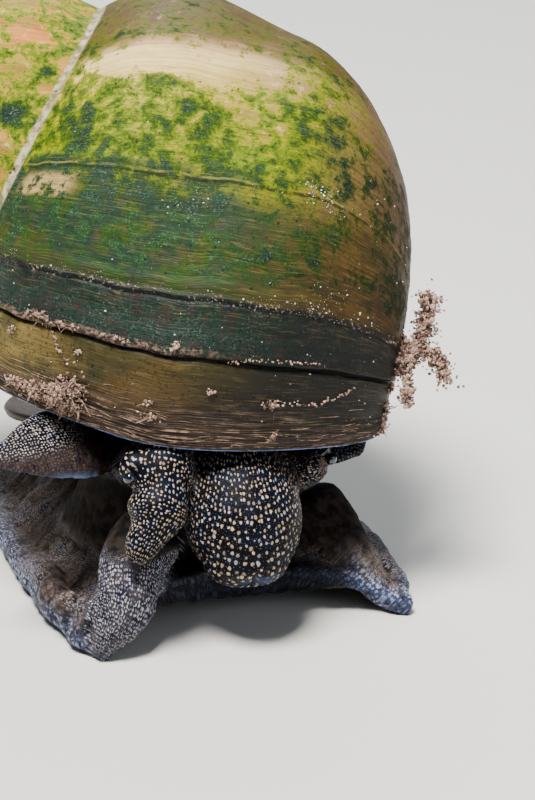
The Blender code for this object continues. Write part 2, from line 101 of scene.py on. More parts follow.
def unit(vectors):
    """The vectors made one unit long."""
    return vectors / np.linalg.norm(vectors, axis=-1, keepdims=True)


print("Drawing's middle:", tuple(BOX_MIDDLE))

# %% [markdown]
# ## Camera, floor and light
# The camera stands where the shell's fit puts it: a little above the animal, to its right front.
# A pale floor and three soft lights are enough. The key light comes from the upper left, as the
# highlight on the shell shows, and the sky fills the shadows.

# %% Camera at the photograph's viewing angle
VIEW_AZIMUTH = math.radians(-20.0)
VIEW_ELEVATION = math.radians(20.0)
VIEW_TARGET = Vector((0.0, 0.0, 9.5))
VIEW_DISTANCE = 160.343
PIXELS_PER_MM = 16.132
PICTURE_HEIGHT = 800
SENSOR_HEIGHT = 24.0
NEAREST_SEEN = 0.005

level = math.cos(VIEW_ELEVATION)
back = Vector(
    (math.sin(VIEW_AZIMUTH) * level, -math.cos(VIEW_AZIMUTH) * level, math.sin(VIEW_ELEVATION))
)
camera = add_object("camera", bpy.data.cameras.new("camera"))
camera.location = TO_FRAME @ (VIEW_TARGET + back * VIEW_DISTANCE)
camera.rotation_euler = (-back).to_track_quat("-Z", "Y").to_euler()
camera.data.sensor_fit = "VERTICAL"
camera.data.sensor_height = SENSOR_HEIGHT
camera.data.lens = PIXELS_PER_MM * VIEW_DISTANCE / PICTURE_HEIGHT * SENSOR_HEIGHT
camera.data.clip_start = NEAREST_SEEN
bpy.context.scene.camera = camera
print("Lens in mm:", round(camera.data.lens, 2))


# %% Node helpers for every material
def node(tree, kind, inputs=None, **settings):
    """Adds a node, sets its options, and sets or links its inputs."""
    made = tree.nodes.new(kind)
    for name, value in settings.items():
        setattr(made, name, value)
    for key, value in (inputs or {}).items():
        if isinstance(value, bpy.types.NodeSocket):
            tree.links.new(value, made.inputs[key])
        else:
            made.inputs[key].default_value = value
    return made


def calc(tree, operation, *values):
    """One Math node."""
    return node(tree, "ShaderNodeMath", dict(enumerate(values)), operation=operation).outputs[0]


def vector_calc(tree, operation, *values):
    """One Vector Math node. To scale takes a vector and a number."""
    keys = (0, "Scale") if operation == "SCALE" else range(len(values))
    return node(tree, "ShaderNodeVectorMath", dict(zip(keys, values)), operation=operation).outputs[0]


def fade(tree, value, low, high, start=0.0, end=1.0):
    """A smooth step from start to end while the value goes from low to high."""
    values = {0: value, 1: low, 2: high, 3: start, 4: end}
    return node(tree, "ShaderNodeMapRange", values, interpolation_type="SMOOTHSTEP").outputs[0]


def mixed(tree, factor, first, second):
    """The first value where the factor is 0 and the second where it is 1."""
    return node(tree, "ShaderNodeMix", {0: factor, 2: first, 3: second}).outputs[0]


def paint(tree, factor, under, over, kind="MIX"):
    """Lays one colour over another."""
    values = {0: factor, 6: under, 7: over}
    return node(tree, "ShaderNodeMix", values, data_type="RGBA", blend_type=kind).outputs[2]


def rgb(red, green, blue):
    """Linear colour with alpha, from a colour as a screen shows it, 0 to 255."""
    screen = np.array([red, green, blue]) / 255
    linear = np.where(screen <= 0.04045, screen / 12.92, ((screen + 0.055) / 1.055) ** 2.4)
    return (*(float(c) for c in linear), 1.0)


def two_tone(tree, value, low, high, dark, pale):
    """A dark screen colour where the value is low, turning to a pale one where it is high."""
    return paint(tree, fade(tree, value, low, high), rgb(*dark), rgb(*pale))


def colour_ramp(tree, value, stops):
    """A ColorRamp with stops of place and screen colour."""
    made = node(tree, "ShaderNodeValToRGB", {0: value})
    elements = made.color_ramp.elements
    while len(elements) < len(stops):
        elements.new(1.0)
    for element, (place, shade) in zip(elements, stops):
        element.position = place
        element.color = rgb(*shade)
    return made.outputs[0]


def grain(tree, place, scale, detail=3.0, roughness=0.55, distortion=0.0):
    """A Noise Texture's value."""
    values = {"Vector": place, "Scale": scale, "Detail": detail}
    values.update({"Roughness": roughness, "Distortion": distortion})
    return node(tree, "ShaderNodeTexNoise", values).outputs[0]


def object_place(tree):
    """The place in the piece's own coordinates."""
    return node(tree, "ShaderNodeTexCoord").outputs["Object"]


def start_material(name, roughness, gloss=0.5):
    """A material with its Principled shader, which every finish here starts from."""
    material = bpy.data.materials.new(name)
    material.use_nodes = True
    shader = material.node_tree.nodes["Principled BSDF"]
    shader.inputs["Roughness"].default_value = roughness
    shader.inputs["Specular IOR Level"].default_value = gloss
    return material, material.node_tree, shader


def connect(tree, shader, colour, rough=None, height=None, depth=0.0, strength=1.0):
    """Links a finish's colour, roughness and relief to its shader. Depth is the relief's, in metres."""
    tree.links.new(colour, shader.inputs["Base Color"])
    if rough is not None:
        tree.links.new(rough, shader.inputs["Roughness"])
    if height is not None:
        values = {"Height": height, "Distance": depth, "Strength": strength}
        tree.links.new(node(tree, "ShaderNodeBump", values).outputs[0], shader.inputs["Normal"])


def give(piece, material):
    """Makes this the piece's only material."""
    piece.data.materials.clear()
    piece.data.materials.append(material)


def dress(piece, material):
    """Moves a finished piece to the frame, shades it smooth and gives it its material."""
    piece.data.transform(TO_FRAME)
    piece.data.shade_smooth()
    give(piece, material)


# %% Floor
FLOOR_SIZE = 3.0
FLOOR_COLOUR = (214, 214, 210)
FLOOR_ROUGHNESS = 0.75

floor = primitive("floor", bpy.ops.mesh.primitive_plane_add, size=FLOOR_SIZE)
floor_finish, _, floor_shader = start_material("pale_floor", FLOOR_ROUGHNESS)
floor_shader.inputs["Base Color"].default_value = rgb(*FLOOR_COLOUR)
give(floor, floor_finish)
print("Floor in metres across:", FLOOR_SIZE)

# %% Lights: place and size in metres, power in watts, and colour
LIGHTS = {
    "key": ((-0.10, -0.09, 0.40), 0.14, 5.2, (1.0, 0.97, 0.92)),
    "fill": ((0.28, -0.34, 0.16), 0.30, 0.55, (0.86, 0.92, 1.0)),
    "back": ((0.12, 0.34, 0.30), 0.25, 1.2, (0.95, 0.97, 1.0)),
}
LOOK_AT = Vector((0.0, 0.0, 0.016))
SKY_COLOUR = (225, 230, 238)
SKY_STRENGTH = 0.13

for name, (place, size, power, colour) in LIGHTS.items():
    lamp = add_object(name, bpy.data.lights.new(name, "AREA"))
    lamp.data.size = size
    lamp.data.energy = power
    lamp.data.color = colour
    lamp.location = place
    lamp.rotation_euler = (LOOK_AT - Vector(place)).to_track_quat("-Z", "Y").to_euler()

world = bpy.data.worlds.new("soft_sky")
world.use_nodes = True
sky = world.node_tree.nodes["Background"]
sky.inputs["Color"].default_value = rgb(*SKY_COLOUR)
sky.inputs["Strength"].default_value = SKY_STRENGTH
bpy.context.scene.world = world
print("Lights:", ", ".join(LIGHTS))

# %% [markdown]
# ## The shell's shape
# A snail adds shell only at the lip, so every whorl is the last one turned about the axis and made
# smaller. One outline, as radius and height, and one growth factor give the whole surface. It is too
# regular for sculpting by hand and too curved for a Screw modifier, which can't grow as it turns, so
# grid primitives are rolled up by the formula, then welded into one closed wall.

# %% One whorl's outline and the spiral
WHORL_GROWTH = 1.59
WHORLS = 5.2
SUTURE = (11.137, 21.889)
PERIPHERY = (17.50, 33.782)
SHOULDER_SHARE = (0.636, 0.258)
UNDERSIDE_SHARE = (0.68, 0.70)
BASE = (8.304, 48.842)
COLUMELLA_BASE = (3.857, 46.653)
AXIS_FOOT = 40.4
LIP_LEAN = (-1.236, 0.177)
LIP_MIDDLE = 0.35
AXIS_AZIMUTH = -31.249
AXIS_TILT = 123.578
SHELL_TURN = -76.347
SHELL_PLACE = (-26.446, 18.281, 35.363)
GROWTH_RATE = math.log(WHORL_GROWTH) / math.tau
SHELL_AXES = np.array(
    Matrix.Rotation(math.radians(AXIS_AZIMUTH), 3, "Z")
    @ Matrix.Rotation(math.radians(AXIS_TILT), 3, "Y")
    @ Matrix.Rotation(math.radians(SHELL_TURN), 3, "Z")
)


def path_lengths(line):
    """Length from the first point to each point of a line."""
    return np.concatenate([[0.0], np.cumsum(np.linalg.norm(np.diff(line, axis=0), axis=1))])


def spline(points, at):
    """Natural cubic spline through the points, read at a number of even steps or at given shares."""
    points = np.array(points, float)
    knots = path_lengths(points)
    steps = np.linalg.norm(np.diff(points, axis=0), axis=1)
    size = len(points)
    system = np.eye(size)
    right = np.zeros_like(points)
    for i in range(1, size - 1):
        before, after = steps[i - 1], steps[i]
        system[i, i - 1 : i + 2] = (before, 2 * (before + after), after)
        right[i] = 6 * ((points[i + 1] - points[i]) / after - (points[i] - points[i - 1]) / before)
    bend = np.linalg.solve(system, right)
    shares = np.linspace(0, 1, at) if np.isscalar(at) else np.array(at)
    where = shares * knots[-1]
    k = np.clip(np.searchsorted(knots, where, side="right") - 1, 0, size - 2)
    width = steps[k][:, None]
    a = (knots[k + 1] - where)[:, None] / width
    b = 1 - a
    curve = (a**3 - a) * bend[k] + (b**3 - b) * bend[k + 1]
    return a * points[k] + b * points[k + 1] + curve * width**2 / 6


def whorl_outline():
    """The points that the outline runs through, and the next suture's share of it."""
    suture, periphery, base = np.array(SUTURE), np.array(PERIPHERY), np.array(BASE)
    shoulder = suture + (periphery - suture) * SHOULDER_SHARE
    next_suture = WHORL_GROWTH * suture
    underside = next_suture + (base - next_suture) * (1 - UNDERSIDE_SHARE[0], UNDERSIDE_SHARE[1])
    knots = [suture, shoulder, periphery, next_suture, underside, base]
    knots += [np.array(COLUMELLA_BASE), np.array((0.0, AXIS_FOOT))]
    lengths = path_lengths(knots)
    return knots, lengths[3] / lengths[-1]


def lean(share):
    """Angle by which a growth line runs ahead, at a share of the outline."""
    off = np.asarray(share, float) - LIP_MIDDLE
    return LIP_LEAN[0] * off + LIP_LEAN[1] * off**2


def spiral(radius, height, angle):
    """Points on the drawing, from radius and height at the lip's size and an angle back from it."""
    radius, height, angle = np.broadcast_arrays(radius, height, angle)
    size = np.exp(GROWTH_RATE * angle)
    across = radius * size
    own = np.stack([across * np.cos(angle), across * np.sin(angle), height * size], -1)
    return own @ SHELL_AXES.T + np.array(SHELL_PLACE)


OUTLINE, AT_NEXT_SUTURE = whorl_outline()
START_ANGLE = float(lean(0.0))


def smooth(value):
    """Smooth step of values from 0 to 1."""
    part = np.clip(value, 0, 1)
    return part * part * (3 - 2 * part)


def parietal_angles(share):
    """Angles of the line where the lip crosses the whorl before."""
    part = smooth((np.asarray(share) - AT_NEXT_SUTURE) / (1 - AT_NEXT_SUTURE))
    return START_ANGLE + (float(lean(1.0)) - START_ANGLE) * part


print("The next suture lies at share", round(AT_NEXT_SUTURE, 3), "of the outline")

# %% [markdown]
# ## Growth rests as real relief
# Growth isn't even. Where the snail rested, the lip thickened, and when growth went on the new shell
# came out from under the old edge. Three such rests show: a crisp dark line near the lip, a broad
# dark ridge behind it, and a fine pale one higher up. The columns of the grid follow growth lines and
# crowd near the rests, so that the steps are real mesh.

# %% Where the columns and rows lie
RESTS = {"edge": 0.324, "ridge": 0.531, "fine": 0.952}
COLUMN_SPACING = ((0, 0.006), (0.05, 0.011), (1.15, 0.012), (1.5, 0.03), (math.tau, 0.032))
REST_HALF_WIDTH = 0.02
REST_SPACING = 0.0042
REST_EASING = 0.35
UPPER_ROWS = 40
BASE_ROWS = 42


def growth_columns():
    """Angles back from the lip for one turn's columns: crowded near the rests and the lip."""
    fine = np.linspace(0, math.tau, 6000)
    spacing = np.interp(fine, *zip(*COLUMN_SPACING))
    for rest in RESTS.values():
        past = np.maximum(0, np.abs(fine - rest) - REST_HALF_WIDTH)
        spacing = np.minimum(spacing, REST_SPACING + REST_EASING * past)
    count = np.concatenate([[0], np.cumsum(np.diff(fine) / spacing[1:])])
    return np.interp(np.linspace(0, count[-1], round(count[-1])), count, fine)


COLUMNS = growth_columns()
UPPER_SHARES = np.linspace(0, AT_NEXT_SUTURE, UPPER_ROWS)
SHARES = np.concatenate([UPPER_SHARES, np.linspace(AT_NEXT_SUTURE, 1, BASE_ROWS)[1:]])
print("Columns to a turn:", len(COLUMNS), "rows:", len(SHARES))

# %% Relief of the growth lines: heights in mm at the lip's size, places and widths in radians
RIPPLES = ((0.045, 0.055, 5), (0.12, 0.41, 6), (0.02, 0.021, 7))
REST_RELIEF = (
    ("edge", -0.26, -0.004, 0.0075),
    ("ridge", -0.08, -0.014, 0.006),
    ("ridge", 0.04, 0.040, 0.012),
    ("fine", 0.018, 0.0, 0.007),
    ("fine", -0.03, -0.015, 0.007),
)
EDGE_SWELLING = (0.15, 0.02, 0.09)
CREST_HEIGHT = 0.07
CREST_WIDTH = 0.009
LIP_LAYERS = ((0.028, 0.05), (0.055, 0.06), (0.095, 0.05), (0.15, 0.04))


def ripple(place, spacing, seed):
    """Smooth random waves between -1 and 1, about one for each spacing."""
    values = np.random.default_rng(seed).uniform(-1, 1, 4096)
    where = np.asarray(place) / spacing
    low = np.floor(where).astype(int)
    part = smooth(where - low)
    return values[low % 4096] * (1 - part) + values[(low + 1) % 4096] * part


def bump_at(distance, width):
    """A rounded ridge of height 1 and this half width."""
    return np.exp(-((distance / width) ** 2))


def wavy(back_angle, share):
    """The growth angle with the small waves that growth lines have, so that no line is quite even."""
    wander = 0.008 * ripple(share + 0.2 * back_angle, 0.07, 3)
    wander += 0.005 * ripple(share + 0.1 * back_angle, 0.023, 4)
    return back_angle + wander * smooth(np.minimum(share, 0.95 - share) / 0.05) * smooth(back_angle / 0.1)


def growth_relief(back_angle, share):
    """How far the shell stands proud, in mm at the lip's size, by angle from the lip and share."""
    back_angle = wavy(back_angle, share)
    relief = sum(height * ripple(back_angle, spacing, seed) for height, spacing, seed in RIPPLES)
    off = {name: back_angle - rest for name, rest in RESTS.items()}
    off["ridge"] = off["ridge"] + 0.004 * ripple(share, 0.013, 8)
    height, onset, reach = EDGE_SWELLING
    relief += height * smooth(off["edge"] / onset + 0.5) * bump_at(np.maximum(off["edge"], 0), reach)
    uneven_crest = CREST_HEIGHT * (1 + 0.8 * ripple(share, 0.012, 9))
    relief += uneven_crest * bump_at(off["ridge"], CREST_WIDTH)
    for rest, height, beyond, width in REST_RELIEF:
        relief += height * bump_at(off[rest] - beyond, width)
    for layer, height in LIP_LAYERS:
        edge = layer + 0.008 * ripple(share, 0.03, int(layer * 1000))
        relief += height * smooth((back_angle - edge) / 0.004) * bump_at(back_angle - edge, 0.03)
    at_suture = smooth(share / 0.02)
    at_axis = smooth((0.97 - share) / 0.12)
    return relief * at_suture * at_axis


def outward(points):
    """Unit normals of a grid of points, away from the shell's axis."""
    down, along = np.gradient(points, axis=0), np.gradient(points, axis=1)
    normal = np.cross(down, along)
    normal /= np.maximum(np.linalg.norm(normal, axis=-1, keepdims=True), 1e-9)
    axis = SHELL_AXES[:, 2]
    radial = points - np.array(SHELL_PLACE)
    radial -= (radial @ axis)[..., None] * axis
    rows = slice(points.shape[1] // 8, points.shape[1] // 3)
    facing = (normal[:, rows] * radial[:, rows]).sum(axis=-1).mean()
    return normal if facing > 0 else -normal


# %% Roll grid primitives into the whorls
def rolled_sheet(name, points, pattern=None):
    """A grid primitive with its points laid rows by columns, and its UV map named growth when a pattern is
    given.
    """
    rows, columns = points.shape[:2]
    cuts = {"x_subdivisions": columns - 1, "y_subdivisions": rows - 1}
    sheet = primitive(name, bpy.ops.mesh.primitive_grid_add, **cuts, size=1)
    put_points(sheet, points)
    corners = np.empty(len(sheet.data.loops), np.int32)
    sheet.data.loops.foreach_get("vertex_index", corners)
    if pattern is not None:
        layer = sheet.data.uv_layers[0]
        layer.name = "growth"
        values = np.stack([p.ravel()[corners] for p in pattern], -1)
        layer.data.foreach_set("uv", values.astype(np.float32).ravel())
    return sheet


def last_whorl():
    """Points of the last whorl, columns from the lip back by rows, with their growth angles."""
    profile = spline(OUTLINE, SHARES)
    start = np.where(SHARES <= AT_NEXT_SUTURE, START_ANGLE, parietal_angles(SHARES)) - math.tau
    extra = lean(SHARES) - start - math.tau
    settle = smooth((COLUMNS - 1.3) / (math.tau - 1.3))[:, None]
    back_angle = COLUMNS[:, None] + extra * settle
    points = spiral(profile[:, 0], profile[:, 1], lean(SHARES) - back_angle)
    lift = growth_relief(back_angle, SHARES[None, :])
    size = np.exp(-GROWTH_RATE * back_angle)
    return points + outward(points) * (lift * size)[..., None], back_angle


def earlier_whorls():
    """Points of the spire from the last whorl's start to the apex, with their growth angles."""
    turns = math.floor(WHORLS - 1)
    last_part = COLUMNS[: np.searchsorted(COLUMNS, (WHORLS - 1 - turns) * math.tau) + 1]
    steps = [COLUMNS[:-1] + math.tau * turn for turn in range(turns)]
    steps = np.concatenate([*steps, last_part + math.tau * turns])
    upper = spline(OUTLINE, UPPER_SHARES)
    chord = np.linspace(upper[0], upper[-1], UPPER_ROWS)
    swollen = smooth((steps[-1] - steps) / (0.8 * math.tau))[:, None, None]
    outline = chord + (upper - chord) * swollen
    angles = START_ANGLE - math.tau - steps[:, None]
    points = spiral(outline[..., 0], outline[..., 1], angles)
    back_angle = lean(UPPER_SHARES) - angles
    at_next = smooth((AT_NEXT_SUTURE - UPPER_SHARES) / 0.02)
    lift = growth_relief(back_angle, UPPER_SHARES[None, :]) * at_next * swollen[:, :, 0]
    size = np.exp(GROWTH_RATE * angles)
    return points + outward(points) * (lift * size)[..., None], back_angle


last, last_back = last_whorl()
spire, spire_back = earlier_whorls()
print("Last whorl:", last.shape, "spire:", spire.shape)

# %% [markdown]
# ## The lip, the throat and the apex
# The wall is a quarter of a millimetre at the rim and thickens inwards. The throat is a set of loops
# that step back from the lip: the outer wall's inner side, the columella, and the side of the whorl
# before. A cone of a few rings rounds off the apex.

# %% Throat loops
WALL = 0.95
RIM_WALL = 0.22
RIM_TURNS = (0.012, 0.05, 0.12, 0.22)
THROAT_TURNS = (0.34, 2.55)
COLUMELLA = ((2.7, 40.3), (3.1, 36.0), (4.6, 32.9))
COLUMELLA_SPREAD = ((1.1, 0.0), (1.2, 0.0), (1.0, 1.0))
THROAT_MIDDLE = (11.5, 37.0)
THROAT_MIDDLE_TURN = -0.15


def offset_outline(shares, distance):
    """The whorl's outline moved inwards by a distance, or outwards by a negative one."""
    fine = spline(OUTLINE, 400)
    along = unit(np.gradient(fine, axis=0))
    inward = np.stack([-along[:, 1], along[:, 0]], -1)
    at = np.linspace(0, 1, len(fine))
    base = np.stack([np.interp(shares, at, fine[:, i]) for i in (0, 1)], -1)
    side = np.stack([np.interp(shares, at, inward[:, i]) for i in (0, 1)], -1)
    return base + side * distance


def throat_loop(wall, outer_count, columella_count, parietal_count):
    """The mouth inside its wall: outer side, columella, then the side of the whorl before."""
    outer_share = np.linspace(0.085, 0.90, outer_count)
    outer = offset_outline(outer_share, wall)
    parietal_share = np.linspace(0.70, 0.44, parietal_count)
    parietal = offset_outline(parietal_share, -wall * WHORL_GROWTH) / WHORL_GROWTH
    middle = np.array(COLUMELLA) + np.array(COLUMELLA_SPREAD) * (wall - WALL)
    columella = spline([outer[-1], *middle, parietal[0]], columella_count + 2)[1:-1]
    part = np.linspace(0.95, 0.05, parietal_count)
    parietal_lean = parietal_angles(AT_NEXT_SUTURE + (1 - AT_NEXT_SUTURE) * part)
    outer_lean = lean(outer_share)
    columella_lean = np.linspace(outer_lean[-1], parietal_lean[0], columella_count + 2)[1:-1]
    loop = np.concatenate([outer, columella, parietal])
    return loop, np.concatenate([outer_lean, columella_lean, parietal_lean])


def throat_middle(step):
    """A point well inside the throat, a step back from the lip."""
    return spiral(*THROAT_MIDDLE, THROAT_MIDDLE_TURN - step)


def throat_rings():
    """Closed rings from the rim back into the shell, and a last one drawn together."""
    axis_line = last[:, -1][1:-1]
    parietal = last[-1, UPPER_ROWS - 1 :][::-1]
    rings = [np.concatenate([last[0], axis_line, parietal])]
    counts = (last.shape[1], len(axis_line), len(parietal))
    for step in (*RIM_TURNS, *np.linspace(*THROAT_TURNS, 13)):
        wall = RIM_WALL + (WALL - RIM_WALL) * smooth(step / RIM_TURNS[-1])
        loop, angles = throat_loop(wall, *counts)
        rings.append(spiral(loop[:, 0], loop[:, 1], angles - step))
    rings.append(np.repeat([throat_middle(THROAT_TURNS[1])], len(rings[0]), axis=0))
    return np.array([np.concatenate([ring, ring[:1]]) for ring in rings])


def apex_rings():
    """Rings that close the spire's start with a low round cap."""
    turn = len(COLUMNS) - 1
    loop = np.concatenate([spire[-1 - turn :, 0], spire[-1, 1:-1]])
    middle = loop.mean(axis=0)
    up = -SHELL_AXES[:, 2] * 0.35
    caps = [middle + (loop - middle) * share + up * rise for share, rise in ((0.75, 0.45), (0.4, 0.85))]
    rings = [loop, *caps, np.repeat([middle + up], len(loop), axis=0)]
    return np.array([np.concatenate([ring, ring[:1]]) for ring in rings])


throat, apex = throat_rings(), apex_rings()
print("Throat rings:", throat.shape[0], "points round each:", throat.shape[1])

# %% Weld the sheets into one closed shell
WELD = 0.0008


def flat_pattern(points, back_angle, share):
    """The same pattern place for all of a sheet's points."""
    shape = points.shape[:2]
    return np.full(shape, back_angle), np.full(shape, share)


def face_outward(piece):
    """Turns all the faces outwards."""
    select_only(piece)
    bpy.ops.object.mode_set(mode="EDIT")
    bpy.ops.mesh.select_all(action="SELECT")
    bpy.ops.mesh.normals_make_consistent(inside=False)
    bpy.ops.object.mode_set(mode="OBJECT")


def weld(piece, distance=WELD):
    """Merges what coincides and turns the faces outwards."""
    select_only(piece)
    bpy.ops.object.mode_set(mode="EDIT")
    bpy.ops.mesh.select_all(action="SELECT")
    bpy.ops.mesh.remove_doubles(threshold=distance)
    bpy.ops.mesh.dissolve_degenerate(threshold=distance / 4)
    bpy.ops.object.mode_set(mode="OBJECT")
    face_outward(piece)


def growth_pattern(back_angle, shares):
    """Growth angle, with its waves, and share of the outline for each point of a grid."""
    shares = np.broadcast_to(shares, back_angle.shape)
    return wavy(back_angle, shares), shares


sheets = [
    rolled_sheet("shell_wall", last, growth_pattern(last_back, SHARES)),
    rolled_sheet("spire", spire, growth_pattern(spire_back, UPPER_SHARES)),
    rolled_sheet("throat", throat, flat_pattern(throat, -1.0, 0.5)),
    rolled_sheet("apex", apex, flat_pattern(apex, float(spire_back.max()), 0.1)),
]
select_only(*sheets[1:], sheets[0])
bpy.ops.object.join()
shell = bpy.context.object
weld(shell)
print("Shell triangles:", triangles_of(shell))

# %% [markdown]
# ## The shell's finish
# The horn under the algae changes with age: brown and fibrous at the lip, teal between the two dark
# rests, olive, yellow-green, then worn pale on the back. The UV map gives each point its angle back
# from the lip and its share of the outline, so a pattern on it follows the growth lines. Blotches of
# algae ignore growth, so they read the object's own coordinates.


# %% A streak group that the shell and the operculum share
def new_group(name, takes, gives):
    """A node group with named inputs and outputs, and the sockets that its inputs arrive at."""
    tree = bpy.data.node_groups.new(name, "ShaderNodeTree")
    for way, sockets in (("INPUT", takes), ("OUTPUT", gives)):
        for socket, kind in sockets.items():
            tree.interface.new_socket(socket, in_out=way, socket_type=f"NodeSocket{kind}")
    return tree, node(tree, "NodeGroupInput").outputs


def streak_group():
    """Thin lines along V of a UV map, closer along U: one value that changes from line to line."""
    takes = {"Place": "Vector", "Across": "Float", "Along": "Float"}
    tree, inner = new_group("growth_streaks", takes, {"Value": "Float"})
    parts = node(tree, "ShaderNodeSeparateXYZ", {0: inner["Place"]}).outputs
    across = calc(tree, "MULTIPLY", parts[0], inner["Across"])
    along = calc(tree, "MULTIPLY", parts[1], inner["Along"])
    place = node(tree, "ShaderNodeCombineXYZ", {0: across, 1: along}).outputs[0]
    node(tree, "NodeGroupOutput", {0: grain(tree, place, 1.0, 4.0, 0.6)})
    return tree


STREAKS = streak_group()


def streaks(tree, place, across, along):
    """Places the streak group with its own spacing."""
    values = {"Place": place, "Across": across, "Along": along}
    return node(tree, "ShaderNodeGroup", values, node_tree=STREAKS).outputs[0]


print("Streak group nodes:", len(STREAKS.nodes))

# %% Masks and layers
def window(tree, value, low, high, soft):
    """1 between low and high, fading out over soft on both sides."""
    rise = fade(tree, value, low - soft, low)
    return calc(tree, "MULTIPLY", rise, fade(tree, value, high, high + soft, 1.0, 0.0))


def product(tree, *values):
    """All the values multiplied."""
    result = values[0]
    for value in values[1:]:
        result = calc(tree, "MULTIPLY", result, value)
    return result


def outside(tree, mask):
    """1 where a mask is 0 and 0 where it is 1."""
    return fade(tree, mask, 0, 1, 1, 0)


def lay(tree, under, over, *masks):
    """Lays a screen colour over another where all the masks are high."""
    return paint(tree, product(tree, *masks), under, rgb(*over))


def coats(tree, colour, *layers):
    """Lays screen colours one after the other, each with its own masks."""
    for shade, *masks in layers:
        colour = lay(tree, colour, shade, *masks)
    return colour


def tinted(tree, colour, tint, *masks):
    """Multiplies a colour by a linear tint where all the masks are high."""
    return paint(tree, product(tree, *masks), colour, (*tint, 1.0), "MULTIPLY")


def uneven(tree, value, less, *noises):
    """A value with a share of each noise added, and a number taken off to keep it where it was."""
    for noise_value, amount in noises:
        value = calc(tree, "MULTIPLY_ADD", noise_value, amount, value)
    return calc(tree, "SUBTRACT", value, less)


def drawn_out(tree, place, *factors):
    """The place with each of its directions stretched or squeezed."""
    return vector_calc(tree, "MULTIPLY", place, factors)


def line_at(tree, value, centre, width):
    """A thin line where the value is near its centre."""
    off = calc(tree, "ABSOLUTE", calc(tree, "SUBTRACT", value, centre))
    return fade(tree, off, width * 0.5, width, 1.0, 0.0)


# %% Horn colours by age, in radians back from the lip
AGE_SPAN = 2.4
HORN = (
    (0.00, (58, 46, 40)), (0.10, (56, 45, 37)), (0.18, (58, 50, 32)), (0.30, (66, 60, 33)),
    (0.335, (34, 40, 35)), (0.43, (36, 46, 40)), (0.52, (34, 39, 34)), (0.56, (52, 58, 30)),
    (0.70, (64, 64, 32)), (0.84, (62, 68, 32)), (0.94, (92, 90, 30)), (1.06, (140, 128, 34)),
    (1.22, (158, 142, 52)), (1.36, (196, 170, 92)), (1.48, (224, 196, 132)),
    (1.58, (206, 172, 118)), (1.68, (120, 98, 58)), (1.80, (112, 90, 52)), (2.40, (118, 104, 60)),
)


def by_age(tree, age, stops):
    """A colour that follows a list of ages."""
    places = [(stop_age / AGE_SPAN, shade) for stop_age, shade in stops]
    return colour_ramp(tree, calc(tree, "DIVIDE", age, AGE_SPAN), places)


def horn_colour(tree, age, share, grains):
    """The horn under the algae, by age and by share of the outline."""
    broad, medium, *_ = grains
    shifted = uneven(tree, age, 0.25, (broad, 0.34), (medium, 0.16))
    banded = mixed(tree, fade(tree, age, 0.56, 0.72), age, shifted)
    patchy = fade(tree, medium, 0.36, 0.60)
    far_side = fade(tree, share, 0.34, 0.60)
    by_lip = window(tree, age, 0.12, 0.31, 0.05)
    amber = product(tree, by_lip, fade(tree, broad, 0.46, 0.60))
    mossy = product(tree, by_lip, fade(tree, broad, 0.50, 0.36))
    back = fade(tree, age, 1.9, 2.5)
    return coats(
        tree,
        by_age(tree, banded, HORN),
        ((86, 66, 40), 0.8, far_side, window(tree, age, 0.56, 5.0, 0.1)),
        ((122, 94, 66), 0.92, fade(tree, share, 0.22, 0.40), fade(tree, age, 1.02, 1.4)),
        ((30, 29, 28), 0.85, fade(tree, share, 0.38, 0.60), fade(tree, age, 0.54, 0.48)),
        ((118, 98, 46), 0.8, window(tree, age, 0.58, 0.94, 0.06), far_side, patchy),
        ((84, 62, 28), 0.5, amber, fade(tree, share, 0.48, 0.28)),
        ((142, 122, 68), 0.8, by_lip, fade(tree, share, 0.30, 0.12)),
        ((24, 24, 24), 0.75, by_lip, fade(tree, share, 0.34, 0.50)),
        ((36, 44, 26), 0.75, mossy, patchy),
        ((150, 116, 84), 0.6, back, fade(tree, broad, 0.46, 0.62)),
        ((86, 80, 46), 0.6, back, patchy),
    )


# %% The spire's colour, bands of slow growth and places worn pale
SPIRE_AGES = (5.3, 5.9)
SLOW_GROWTH_TINT = (0.50, 0.42, 0.40)


def weathered(tree, colour, growth, age, grains):
    """Older horn: peach and yellow on the spire, with darker bands of slow growth and worn spots."""
    broad, medium, small, *_ = grains
    on_spire = fade(tree, age, *SPIRE_AGES)
    peach = fade(tree, broad, 0.42, 0.54)
    bands = product(tree, fade(tree, age, 2.0, 3.0), fade(tree, streaks(tree, growth, 9.0, 1.2), 0.44, 0.62))
    worn = product(tree, fade(tree, small, 0.54, 0.66), fade(tree, medium, 0.52, 0.42))
    worn = product(tree, worn, fade(tree, age, 0.95, 1.25))
    colour = coats(tree, colour, ((176, 150, 62), 0.9, on_spire), ((202, 120, 62), 0.9, on_spire, peach))
    colour = tinted(tree, colour, SLOW_GROWTH_TINT, bands, 0.8)
    return lay(tree, colour, (214, 190, 124), 0.7, worn)


